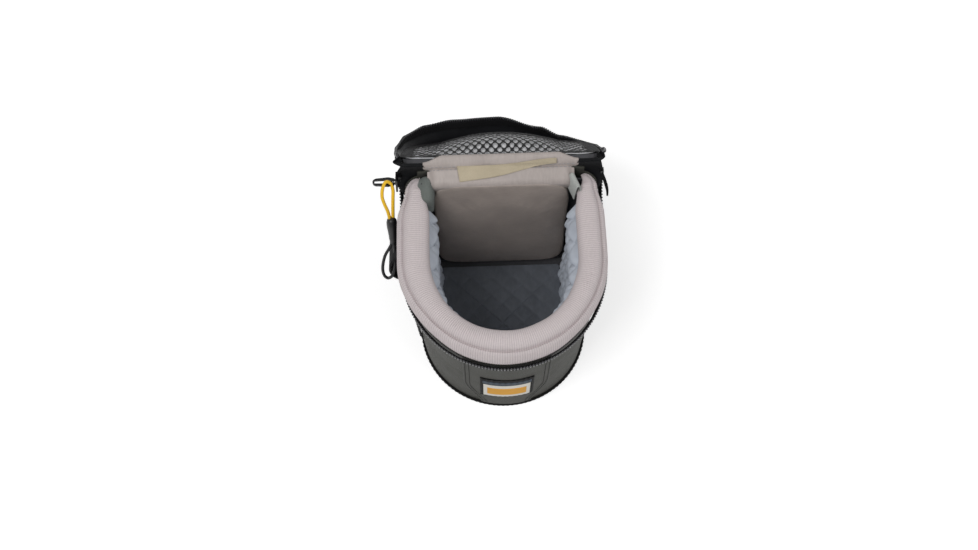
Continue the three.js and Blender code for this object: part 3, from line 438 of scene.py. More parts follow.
PALE_THREAD = ClothFinish("pale_thread", "c4c4c6", "8d8d90", Weave.TWILL, 0.3 * MM, 0.05 * MM, 0.5)
# Pale grains on the zip teeth's tops: painted highlights, not thread.
PAINTED_TEETH_HIGHLIGHT = ClothFinish("chain_thread", "98989c", "55555a", Weave.TWILL, 0.3 * MM, 0.05 * MM, 0.4)
QUILT = SatinFinish("quilted_satin_cloth", "dbe1ea", "939ba8", 0.5, stretch=(1, 1, 2))
SATIN = SatinFinish("grey_satin_cloth", "b9ada5", "807670", 0.42)
# The floor cushion is a darker copy of the quilted satin: its darkness is painted shade for the pouch's deep floor.
SHADED_FLOOR_SATIN = SatinFinish("floor_satin_cloth", "7b8088", "474b52", 0.5, stretch=(2, 1, 1))
# The rear corners' inner cloth is a dark satin that stands in for the shade deep in the corners: painted shade.
SHADED_CORNER_SATIN = SatinFinish("dark_satin_cloth", "34343a", "141417", 0.5, stretch=(1, 1, 3))
LID_SATIN = SatinFinish("lid_satin_cloth", "f8f8fa", "dedfe3", 0.5, stretch=(3, 1, 1))
BAND = SatinFinish("hinge_band_cloth", "c9bfba", "857c78", 0.45, stretch=(4, 1, 1))
FOAM = HardFinish("open_foam", "3b3b3e", "565659", 0.95, 0.6 * MM, 0.3 * MM)
BOARD = HardFinish("stiff_board", "2a2a2c", "3f3f42", 0.8, 1.2 * MM, 0.1 * MM)
TEETH = HardFinish("zip_teeth_plastic", "0b0b0d", "2c2c31", 0.28, 0.5 * MM, 0.03 * MM, 0.0, 0.4)
ENAMEL = HardFinish("black_enamel", "0b0b0c", "2d2d30", 0.3, 0.4 * MM, 0.02 * MM, 0.6, 0.5)
RUBBER = HardFinish("moulded_rubber", "0c0c0d", "232325", 0.42, 0.35 * MM, 0.04 * MM, 0.0, 0.15)
CORD = BraidFinish("yellow_braid", "ffd01c", "e6a206", 0.9 * MM)

Finish = Union[ClothFinish, SatinFinish, HardFinish, BraidFinish]


class Wardrobe:
    """Keeps one material for each finish."""

    made: dict = {}

    @classmethod
    def get(cls, finish: Finish) -> bpy.types.Material:
        """Returns the material of a finish, built once."""
        if finish.name not in cls.made:
            cls.made[finish.name] = finish.build()
        return cls.made[finish.name]


@dataclass(frozen=True)
class Wall:
    """The pouch's wall: a half-elliptic front, straight sides, round rear corners and a flat back.

    A run is the distance along the mouth from the middle of the front, and right is positive.
    """

    base_half_width: float
    mouth_half_width: float
    base_front: float
    mouth_front: float
    back: float
    hinge_height: float
    zip_height: float
    turn_depth: float
    turn_height: float
    turn_end: float = math.radians(82)
    corner_radius: float = 12 * MM
    least_radius: float = 2 * MM
    even_share: float = 0.6
    table_steps: int = 240

    @classmethod
    def from_frame(cls) -> "Wall":
        """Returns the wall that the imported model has."""
        base, tape = box_of("base_panel"), box_of("zip_tape_body")
        hinge, turn = joint_place("lid_hinge"), joint_place("zip_slide")
        zip_height = box_of("quilted_lining")[1].z
        return cls(base[1].x, tape[1].x - TAPE_OFFSET, -base[0].y, -tape[0].y - TAPE_OFFSET, hinge[1], hinge[2],
                   zip_height, turn[1], turn[2])

    @property
    def turn_radius(self) -> float:
        """Radius of the zip's turn up the rear corners."""
        return self.turn_height - self.zip_height

    @cached_property
    def front_table(self) -> list:
        """Distances along the front at even steps of its angle, at the mouth."""
        total = 0.0
        table = [0.0]
        before = Vector((0, -self.mouth_front))
        for i in range(1, self.table_steps + 1):
            angle = RIGHT * i / self.table_steps
            point = Vector((self.mouth_half_width * math.sin(angle), -self.mouth_front * math.cos(angle)))
            total += (point - before).length
            table.append(total)
            before = point
        return table

    @property
    def front_run(self) -> float:
        """Run from the middle of the front to the straight side."""
        return self.front_table[-1]

    @property
    def side_length(self) -> float:
        """Length of the straight side."""
        return self.back - self.corner_radius

    @property
    def corner_length(self) -> float:
        """Length of a rear corner."""
        return self.corner_radius * RIGHT

    @property
    def rear_run(self) -> float:
        """Run to where a rear corner meets the flat back."""
        return self.front_run + self.side_length + self.corner_length

    @property
    def full_run(self) -> float:
        """Run to the middle of the back."""
        return self.rear_run + self.mouth_half_width - self.corner_radius

    @property
    def turn_run(self) -> float:
        """Run to where the zip starts to turn upwards."""
        return self.front_run + self.turn_depth

    @property
    def zip_run(self) -> float:
        """Run to the end of the zip, round its turn."""
        return self.turn_run + self.turn_radius * self.turn_end

    def spread(self, height: float) -> Tuple[float, float]:
        """Returns the wall's half width and the depth of its front at a height."""
        lean = clamp(height / self.zip_height)
        return (lerp(self.base_half_width, self.mouth_half_width, lean),
                lerp(self.base_front, self.mouth_front, lean))

    def run_at(self, angle: float) -> float:
        """Returns the run at an angle of the front."""
        place = angle / RIGHT * (len(self.front_table) - 1)
        index = min(int(place), len(self.front_table) - 2)
        return lerp(self.front_table[index], self.front_table[index + 1], place - index)

    def angle_at(self, run: float) -> float:
        """Returns the front's angle at a run."""
        table = self.front_table
        low = min(bisect_right(table, run), len(table) - 1) - 1
        part = clamp((run - table[low]) / (table[low + 1] - table[low]))
        return RIGHT * (low + part) / (len(table) - 1)

    def place(self, run: float, height: float, offset: float = 0.0) -> Vector:
        """Returns a point of the wall.

        Args:
            run: distance along the mouth, right positive.
            height: height over the ground.
            offset: distance outwards from the outer fabric.

        Returns:
            The point, in metres.
        """
        side = 1 if run >= 0 else -1
        run = abs(run)
        half_width, front = self.spread(height)
        if run <= self.front_run:
            angle = self.angle_at(run)
            normal = Vector((math.sin(angle) / half_width, -math.cos(angle) / front)).normalized()
            x = half_width * math.sin(angle) + normal.x * offset
            return Vector((side * x, -front * math.cos(angle) + normal.y * offset, height))
        radius = max(self.corner_radius + offset, self.least_radius)
        corner_x = half_width + offset - radius
        corner_y = self.back + offset - radius
        beyond = run - self.front_run
        if beyond <= self.side_length:
            start = self.side_length * self.even_share
            if beyond > start and corner_y < self.side_length:
                beyond = lerp(start, corner_y, (beyond - start) / (self.side_length - start))
            return Vector((side * (half_width + offset), beyond, height))
        beyond = (beyond - self.side_length) / self.corner_length
        if beyond <= 1:
            turn = RIGHT * (1 - beyond)
            x = corner_x + radius * math.sin(turn)
            return Vector((side * x, corner_y + radius * math.cos(turn), height))
        share = clamp((run - self.rear_run) / (self.full_run - self.rear_run))
        return Vector((side * corner_x * (1 - share), self.back + offset, height))

    def out_at(self, run: float, height: float) -> Vector:
        """Returns the outward direction at a run and height."""
        return (self.place(run, height, MM) - self.place(run, height)).normalized()

    def rise_at(self, depth: float) -> float:
        """Returns how far the zip line has risen at a depth on the side."""
        along = clamp((depth - self.turn_depth) / self.turn_radius, 0, math.sin(self.turn_end))
        return self.turn_radius * (1 - math.sqrt(1 - along * along))

    def zip_place(self, run: float, across: float, offset: float) -> Vector:
        """Returns a point by the zip line, which turns up the rear corners.

        Args:
            run: distance along the zip, right positive.
            across: distance upwards across the zip.
            offset: distance outwards from the outer fabric.

        Returns:
            The point, in metres.
        """
        if abs(run) <= self.turn_run:
            return self.place(run, self.zip_height, offset) + Vector((0, 0, across))
        side = 1 if run > 0 else -1
        angle = (abs(run) - self.turn_run) / self.turn_radius
        depth = self.turn_depth + self.turn_radius * math.sin(angle) - across * math.sin(angle)
        height = self.turn_height - self.turn_radius * math.cos(angle) + across * math.cos(angle)
        return Vector((side * (self.mouth_half_width + offset), depth, height))

    def turn_share(self, run: float) -> float:
        """Returns how far round its turn the zip is at a run, 0 to 1."""
        return clamp((abs(run) - self.turn_run) / (self.turn_radius * self.turn_end))


WALL = Wall.from_frame()


@dataclass(frozen=True)
class Route:
    """A smooth line through a few points."""

    points: Tuple[Vector, ...]

    @classmethod
    def through(cls, *points: Sequence[float]) -> "Route":
        """Returns the line through points given in millimetres."""
        return cls(tuple(Vector(p) * MM for p in points))

    def at(self, share: float) -> Vector:
        """Finds a point of the line.

        Args:
            share: how far along it, 0 to 1.

        Returns:
            The point on the smooth curve through the given ones.
        """
        spans = len(self.points) - 1
        place = clamp(share) * spans
        index = min(int(place), spans - 1)
        t = place - index
        a, b, c, d = (self.points[min(max(index + i, 0), spans)] for i in (-1, 0, 1, 2))
        return 0.5 * (2 * b + (c - a) * t + (2 * a - 5 * b + 4 * c - d) * t ** 2 + (3 * b - a - 3 * c + d) * t ** 3)

    def along(self, share: float) -> Vector:
        """Returns the line's direction at a share of it."""
        return (self.at(share + 0.004) - self.at(share - 0.004)).normalized()

    @cached_property
    def length(self) -> float:
        """Length of the line."""
        steps = [self.at(i / 120) for i in range(121)]
        return sum((b - a).length for a, b in zip(steps, steps[1:]))


class Mesher:
    """Makes meshes from bmesh operators and turns them into pieces."""

    @staticmethod
    def tube(route: Route, radius: Callable[[float], float], plane: Vector, columns: int = 60,
             rows: int = 12) -> BMesh:
        """Makes a round cord along a line.

        Args:
            route: the line.
            radius: its radius at a share of the line.
            plane: a direction that the line never runs in.
            columns: cells along it.
            rows: cells round it.

        Returns:
            The closed mesh.
        """
        def place(u: float, v: float) -> Vector:
            """Returns a point of the cord's skin."""
            side = route.along(u).cross(plane).normalized()
            up = side.cross(route.along(u))
            turn = math.tau * v
            return route.at(u) + (side * math.cos(turn) + up * math.sin(turn)) * radius(u)

        bm = Mesher.grid(columns, rows, place, (route.length, math.tau * radius(0.5)), wrap=True)
        Mesher.close(bm)
        return bm

    @staticmethod
    def cushion(low: Vector, high: Vector, power: float, flat: Tuple[float, float], columns: int = 48,
                rows: int = 24) -> BMesh:
        """Makes a crowned closed form that fills a box, its seam running round the middle of its depth.

        Args:
            low: the box's lowest corner.
            high: the box's highest corner.
            power: how square it is, 2 for round.
            flat: its cloth's two lengths.
            columns: cells round it.
            rows: cells from its front to its back.

        Returns:
            The closed mesh.
        """
        middle, half = (low + high) / 2, (high - low) / 2

        def place(u: float, v: float) -> Vector:
            """Returns a point of the cushion's skin."""
            turn, rise = math.tau * u, math.pi * (v - 0.5)
            crown = square_reach(rise, power)
            reach = square_reach(turn, power) * crown * math.cos(rise)
            return middle + Vector((half.x * reach * math.cos(turn), half.y * crown * math.sin(rise),
                                    half.z * reach * math.sin(turn)))

        return Mesher.grid(columns, rows, place, flat, wrap=True)

    @staticmethod
    def grid(columns: int, rows: int, place: Place, flat: Tuple[float, float], wrap: bool = False,
             flip: bool = False) -> BMesh:
        """Makes a grid of cloth and puts each point in its place.

        Args:
            columns: cells along the first way.
            rows: cells along the second way.
            place: gives the point at two shares, each 0 to 1.
            flat: the cloth's two lengths, for its own coordinates.
            wrap: whether edges that meet are joined.
            flip: whether its faces are turned over.

        Returns:
            The mesh, with cloth coordinates in metres.
        """
        bm = bmesh.new()
        uv = bm.loops.layers.uv.new("cloth")
        bmesh.ops.create_grid(bm, x_segments=columns, y_segments=rows, size=1.0)
        for face in bm.faces:
            for loop in face.loops:
                at = loop.vert.co
                loop[uv].uv = ((at.x + 1) / 2 * flat[0], (at.y + 1) / 2 * flat[1])
        for vert in bm.verts:
            vert.co = place(clamp((vert.co.x + 1) / 2), clamp((vert.co.y + 1) / 2))
        if wrap:
            bmesh.ops.remove_doubles(bm, verts=bm.verts, dist=0.002 * MM)
            bmesh.ops.recalc_face_normals(bm, faces=bm.faces)
        if flip:
            bmesh.ops.reverse_faces(bm, faces=bm.faces)
        return bm

    @staticmethod
    def close(bm: BMesh) -> None:
        """Fills a mesh's open ends and turns its faces outwards."""
        bmesh.ops.holes_fill(bm, edges=[e for e in bm.edges if e.is_boundary], sides=0)
        bmesh.ops.recalc_face_normals(bm, faces=bm.faces)

    @staticmethod
    def piece(name: str, bm: BMesh, finish: Finish, slot: str, body: Optional[str] = "root",
              replaces: Sequence[str] = (), thickness: float = 0.0, rounds: float = 0.0, subdivide: int = 0,
              sharp: float = 40.0) -> bpy.types.Object:
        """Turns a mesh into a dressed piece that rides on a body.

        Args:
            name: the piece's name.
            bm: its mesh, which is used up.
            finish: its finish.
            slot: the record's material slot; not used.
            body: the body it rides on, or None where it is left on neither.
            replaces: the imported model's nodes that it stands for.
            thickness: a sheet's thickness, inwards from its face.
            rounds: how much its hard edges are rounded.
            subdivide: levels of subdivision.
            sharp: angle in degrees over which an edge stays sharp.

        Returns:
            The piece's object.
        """
        for face in bm.faces:
            face.smooth = True
        for edge in bm.edges:
            edge.smooth = edge.calc_face_angle(0.0) < math.radians(sharp)
        mesh = bpy.data.meshes.new(name)
        bm.to_mesh(mesh)
        bm.free()
        made = bpy.data.objects.new(name, mesh)
        bpy.context.scene.collection.objects.link(made)
        mesh.materials.append(Wardrobe.get(finish))
        if thickness > 0:
            wall = made.modifiers.new("thickness", "SOLIDIFY")
            wall.thickness = thickness
            wall.offset = -1
        if rounds > 0:
            edge = made.modifiers.new("rounded_edges", "BEVEL")
            edge.width = rounds
            edge.segments = 2
            edge.limit_method = "ANGLE"
            edge.angle_limit = math.radians(50)
        if subdivide > 0:
            finer = made.modifiers.new("finer", "SUBSURF")
            finer.levels = subdivide
            finer.render_levels = subdivide
        if body:
            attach(made, body)
        if replaces:
            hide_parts(*replaces)
        log.info("%s: %d faces on %s", name, len(mesh.polygons), body)
        return made


@dataclass
class Stitching:
    """Rows of thread, one small grain for each stitch."""

    length: float = 2.3 * MM
    gap: float = 0.9 * MM
    thread: float = 0.32 * MM

    def row(self, bm: BMesh, points: Sequence[Vector], outward: Callable[[Vector], Vector]) -> None:
        """Adds a row of stitches along a line.

        Args:
            bm: the mesh to add to.
            points: the line.
            outward: gives the face's outward direction at a point.
        """
        left = 0.0
        for first, second in zip(points, points[1:]):
            span = (second - first).length
            while left < span:
                middle = first.lerp(second, left / span)
                self.stitch(bm, middle, (second - first).normalized(), outward(middle))
                left += self.length + self.gap
            left -= span

    def stitch(self, bm: BMesh, middle: Vector, along: Vector, out: Vector) -> None:
        """Adds one stitch.

        Args:
            bm: the mesh to add to.
            middle: its middle.
            along: the way that it lies.
            out: the face's outward direction.
        """
        side = out.cross(along).normalized()
        up = along.cross(side)
        turn = Matrix((along * self.length / 2, side * self.thread, up * self.thread)).transposed().to_4x4()
        turn.translation = middle
        bmesh.ops.create_uvsphere(bm, u_segments=6, v_segments=4, radius=1.0,
                                  matrix=turn @ Matrix.Rotation(RIGHT, 4, "Y"))


@dataclass
class Filling:
    """Fills a padded piece by cloth simulation on an even copy, then moves the finer mesh as the copy moved."""

    voxel: float = 5 * MM
    pressure: float = 4.0
    frames: int = 20
    cap: float = 2.5 * MM
    nearest: int = 5

    def swell(self, bm: BMesh) -> None:
        """Fills a closed mesh.

        Args:
            bm: the mesh, whose points are moved.
        """
        scene = bpy.context.scene
        mesh = bpy.data.meshes.new("filling")
        bm.to_mesh(mesh)
        copy = bpy.data.objects.new("filling", mesh)
        scene.collection.objects.link(copy)
        even = copy.modifiers.new("even", "REMESH")
        even.mode = "VOXEL"
        even.voxel_size = self.voxel
        evaluated = copy.evaluated_get(bpy.context.evaluated_depsgraph_get())
        coarse = bpy.data.meshes.new_from_object(evaluated)
        copy.modifiers.clear()
        copy.data = coarse
        rest = [vert.co.copy() for vert in coarse.vertices]
        cloth = copy.modifiers.new("cloth", "CLOTH")
        cloth.settings.use_pressure = True
        cloth.settings.uniform_pressure_force = self.pressure
        cloth.settings.effector_weights.gravity = 0.0
        for number in range(1, self.frames + 1):
            scene.frame_set(number)
        swollen = copy.evaluated_get(bpy.context.evaluated_depsgraph_get()).to_mesh()
        tree = kdtree.KDTree(len(rest))
        moves = []
        for index, (before, vert) in enumerate(zip(rest, swollen.vertices)):
            tree.insert(before, index)
            move = vert.co - before
            moves.append(move * min(1.0, self.cap / max(move.length, 1e-9)))
        tree.balance()
        for vert in bm.verts:
            found = tree.find_n(vert.co, self.nearest)
            weights = [1 / (distance + MM) for _, _, distance in found]
            total = sum(weights)
            for (_, index, _), weight in zip(found, weights):
                vert.co += moves[index] * (weight / total)
        scene.frame_set(1)
        bpy.data.objects.remove(copy)
        log.info("filled %d points", len(moves))


def shell_top(run: float) -> float:
    """Finds the outer fabric's upper edge, which follows the zip and dips at the rear corners.

    Args:
        run: distance along the mouth, right positive.

    Returns:
        The edge's height.
    """
    depth = WALL.place(run, WALL.zip_height).y
    rise = WALL.rise_at(depth) if depth > 0 else 0.0
    level = WALL.zip_height - EDGE_BELOW_ZIP + rise
    beyond = (abs(run) - WALL.front_run - WALL.side_length) / WALL.corner_length
    dip = CORNER_DIP * (1 - smooth(beyond, 0.85, 1.1))
    return lerp(level, sill_height() - dip, smooth(beyond, 0, 0.35)) if beyond > 0 else level


def sill_height() -> float:
    """Returns the height of the back wall's upper edge."""
    return box_of("back_panel")[1].z


@dataclass
class OuterShell:
    """The nylon wall, its back, underside, bound edge and front overlay."""

    bottom: float = 1.8 * MM
    thickness: float = 1.2 * MM
    pucker: float = 0.35 * MM
    overlay_offset: float = 1.1 * MM
    overlay_thickness: float = 0.8 * MM
    overlay_top: float = 28 * MM
    overlay_bottom: float = 17 * MM
    binding_tall: float = 1.0 * MM
    binding_thick: float = 0.9 * MM
    binding_offset: float = 0.7 * MM
    binding_power: float = 3
    binding_clear: float = 0.25 * MM
    seam_lap: float = 3 * MM
    seam_sink: float = 0.7 * MM
    seam_half: float = 2.6 * MM
    seam_thick: float = 0.75 * MM
    slump: float = 0.5 * MM
    slump_size: float = 40 * MM
    pucker_size: float = 26 * MM
    fine_pucker_size: float = 9 * MM
    stitch_insets: Tuple[float, float] = (1.6 * MM, 4.2 * MM)

    def wall_point(self, u: float, v: float) -> Vector:
        """Finds a point of the outer wall.

        Args:
            u: share of the way round.
            v: share of its height.

        Returns:
            The point, sunk where the cloth puckers.
        """
        run = lerp(-WALL.rear_run, WALL.rear_run, u)
        height = lerp(self.bottom, shell_top(run), v)
        flat = WALL.place(run, height)
        loose = arch(clamp(v)) ** 0.5
        sink = self.pucker * loose * (1 + wander(flat, self.pucker_size) + 0.5 * wander(flat, self.fine_pucker_size, 3))
        sink += self.slump * loose * smooth(wander(flat, self.slump_size, 11), -0.2, 0.8)
        return WALL.place(run, height, -sink)

    def build(self) -> None:
        """Builds the wall's pieces."""
        wall = Mesher.grid(240, 36, self.wall_point, (2 * WALL.rear_run, WALL.zip_height))
        Mesher.piece("wall_fabric", wall, BODY, "body_nylon", replaces=["outer_shell"], thickness=self.thickness)
        low, high = box_of("back_panel")

        def back_point(u: float, v: float) -> Vector:
            """Returns a point of the back's outer face, whose sides lap under the wall's."""
            height = lerp(low.z, high.z, v)
            half = WALL.place(WALL.rear_run, height).x + self.seam_lap
            point = Vector((lerp(half, -half, u), high.y, height))
            edge = arch(u) * arch(v)
            point.y -= self.pucker * clamp(4 * edge) * (1 + wander(point, 22 * MM, 5))
            point.y -= self.seam_sink * smooth(abs(point.x), half - 2 * self.seam_lap, half - self.seam_lap)
            return point

        back = Mesher.grid(80, 70, back_point, (high.x - low.x, high.z - low.z))
        Mesher.piece("back_fabric", back, BODY, "body_nylon", replaces=["back_panel"], thickness=self.thickness)
        self.build_seams()
        self.build_base()
        self.build_overlay()

    def build_seams(self) -> None:
        """Builds the bound seams down the back, where the wall meets its flat rear."""
        seams = bmesh.new()
        threads = bmesh.new()
        top = box_of("back_panel")[1].z
        for side in (-1, 1):
            def roll(u: float, v: float, side: int = side) -> Vector:
                """Returns a point of a seam's folded tape."""
                height = lerp(self.bottom + MM, top, u)
                at = WALL.place(side * WALL.rear_run, height)
                turn = math.tau * v
                return at + Vector((self.seam_half * math.cos(turn), 0.1 * MM + self.seam_thick * math.sin(turn), 0))

            strip = Mesher.grid(90, 14, roll, (top, BINDING_ROUND), wrap=True)
            Mesher.close(strip)
            part = bpy.data.meshes.new("seam")
            strip.to_mesh(part)
            strip.free()
            seams.from_mesh(part)
            line = []
            for i in range(61):
                at = WALL.place(side * WALL.rear_run, lerp(4 * MM, top - 2 * MM, i / 60), 0.85 * MM)
                line.append(at - Vector((side * 0.9 * MM, 0, 0)))
            Stitching().row(threads, line, lambda p: Vector((0, 1, 0)))
        Mesher.piece("back_seams", seams, BINDING, "binding_web")
        Mesher.piece("back_seam_stitches", threads, THREAD, "binding_web")

    def build_base(self) -> None:
        """Builds the underside and the bound edge round it."""
        full = WALL.full_run

        def under(u: float, v: float) -> Vector:
            """Returns a point of the underside."""
            rim = WALL.place(lerp(-full, full, u), 0.0)
            return Vector((rim.x * v, rim.y * v, 0.0))

        skin = Mesher.grid(160, 24, under, (2 * full, WALL.base_front), wrap=True)
        top = box_of("base_panel")[1].z
        bmesh.ops.reverse_faces(skin, faces=[f for f in skin.faces if f.normal.z > 0])
        Mesher.piece("underside_fabric", skin, BODY, "body_nylon", replaces=["base_panel"], thickness=top)

        def roll(u: float, v: float) -> Vector:
            """Returns a point of the bound edge."""
            angle = math.tau * v
            reach = square_reach(angle, self.binding_power)
            out = self.binding_offset + self.binding_thick * reach * math.cos(angle)
            up = self.binding_tall + self.binding_tall * reach * math.sin(angle)
            return WALL.place(lerp(-full, full, u), max(up, self.binding_clear), out)

        edge = Mesher.grid(300, 14, roll, (2 * full, BINDING_ROUND), wrap=True)
        Mesher.piece("underside_binding", edge, BINDING, "binding_web", replaces=["base_binding"])
        stitches = bmesh.new()
        points = [WALL.place(lerp(-full, full, i / 400), 1.3 * MM, 1.6 * MM) for i in range(401)]
        Stitching().row(stitches, points, lambda p: Vector((p.x, p.y, 0)).normalized())
        Mesher.piece("binding_stitches", stitches, THREAD, "binding_web")

    def overlay_half(self, share: float) -> float:
        """Returns the overlay's half width at a share of its height."""
        return lerp(self.overlay_bottom, self.overlay_top, smooth(share, 0, 0.45))

    def overlay_place(self, across: float, share: float, offset: float) -> Vector:
        """Returns a point over the overlay.

        Args:
            across: distance from its middle line.
            share: share of its height.
            offset: distance outwards from the wall.

        Returns:
            The point, in metres.
        """
        low, high = box_of("front_panel")
        height = lerp(low.z, high.z, share)
        angle = math.asin(clamp(abs(across) / WALL.spread(height)[0]))
        return WALL.place(math.copysign(WALL.run_at(angle), across), height, offset)

    def build_overlay(self) -> None:
        """Builds the front overlay and its topstitching."""
        def face(u: float, v: float) -> Vector:
            """Returns a point of the overlay's face."""
            half = self.overlay_half(v)
            point = self.overlay_place(lerp(-half, half, u), v, 0.0)
            swell = 0.25 * MM * (1 + wander(point, 15 * MM, 2)) * arch(u) ** 0.4
            return self.overlay_place(lerp(-half, half, u), v, self.overlay_offset + swell)

        low, high = box_of("front_panel")
        sheet = Mesher.grid(48, 60, face, (2 * self.overlay_top, high.z - low.z))
        Mesher.piece("front_overlay", sheet, BODY, "body_nylon", replaces=["front_panel"],
                     thickness=self.overlay_thickness, rounds=0.3 * MM)
        stitches = bmesh.new()
        for side in (-1, 1):
            for inset in self.stitch_insets:
                line = []
                for i in range(60):
                    share = lerp(0.01, 0.99, i / 59)
                    across = side * (self.overlay_half(share) - inset)
                    line.append(self.overlay_place(across, share, self.overlay_offset + 0.25 * MM))
                Stitching().row(stitches, line, lambda p: WALL.out_at(p.x, p.z))
        Mesher.piece("overlay_stitches", stitches, THREAD, "body_nylon")


@dataclass
class Patch:
    """The woven patch on the front: a dark ground, a dashed strip, a pale frame and a yellow block, all blank."""

    shell: OuterShell
    ground_half: float = 17 * MM
    strip_half: float = 15.4 * MM
    frame_half: float = 14.9 * MM
    block_half: float = 12.4 * MM
    frame_low: float = 32 * MM
    frame_high: float = 62 * MM
    block_low: float = 38.5 * MM
    block_high: float = 55.5 * MM
    strip_low: float = 64 * MM
    strip_high: float = 71 * MM
    ground_high: float = 76.5 * MM
    ground_offset: float = 1.95 * MM
    top_offset: float = 2.3 * MM
    block_offset: float = 2.6 * MM
    thickness: float = 0.45 * MM
    seam_inset: float = 0.9 * MM

    def sheet(self, name: str, half: float, low: float, high: float, offset: float, finish: Finish, slot: str,
              replaces: Sequence[str] = ()) -> None:
        """Builds one woven layer.

        Args:
            name: the piece's name.
            half: its half width.
            low: its lower edge.
            high: its upper edge.
            offset: how far its face stands out from the wall.
            finish: its finish.
            slot: its material slot.
            replaces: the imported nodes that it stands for.
        """
        bottom, top = box_of("front_panel")

        def face(u: float, v: float) -> Vector:
            """Returns a point of the layer's face."""
            height = lerp(low, high, v)
            sag = 0.5 * MM * arch(u)
            share = (height - sag - bottom.z) / (top.z - bottom.z)
            edge = smooth(min(u, 1 - u, v, 1 - v), 0, 0.06)
            return self.shell.overlay_place(lerp(-half, half, u), share, offset - 0.25 * MM * (1 - edge))

        bm = Mesher.grid(60, 36, face, (2 * half, high - low))
        Mesher.piece(name, bm, finish, slot, replaces=replaces, thickness=self.thickness)

    def build(self) -> None:
        """Builds the patch's layers and its sewn edge."""
        low, high = box_of("front_patch")[0].z, self.ground_high
        for name, half, z0, z1, offset, finish, slot, replaced in (
                ("patch_ground", self.ground_half, low, high, self.ground_offset, TAPE, "black_nylon", ["front_patch"]),
                ("patch_strip", self.strip_half, self.strip_low, self.strip_high, self.top_offset, EDGE_WEAVE,
                 "patch_weave", []),
                ("patch_frame", self.frame_half, self.frame_low, self.frame_high, self.top_offset, FRAME_WEAVE,
                 "patch_weave", []),
                ("patch_block", self.block_half, self.block_low, self.block_high, self.block_offset, BLOCK_WEAVE,
                 "yellow_weave", ["patch_field"])):
            self.sheet(name, half, z0, z1, offset, finish, slot, replaced)
        bottom, top = box_of("front_panel")
        stitches = bmesh.new()
        half = self.ground_half - self.seam_inset
        foot, head = low + MM, high - MM
        corners = [(-half, foot), (half, foot), (half, head), (-half, head), (-half, foot)]
        for (x0, z0), (x1, z1) in zip(corners, corners[1:]):
            line = []
            for i in range(25):
                share = (lerp(z0, z1, i / 24) - bottom.z) / (top.z - bottom.z)
                line.append(self.shell.overlay_place(lerp(x0, x1, i / 24), share, 2.05 * MM))
            Stitching().row(stitches, line, lambda p: WALL.out_at(p.x, p.z))
        Mesher.piece("patch_stitches", stitches, THREAD, "black_nylon")


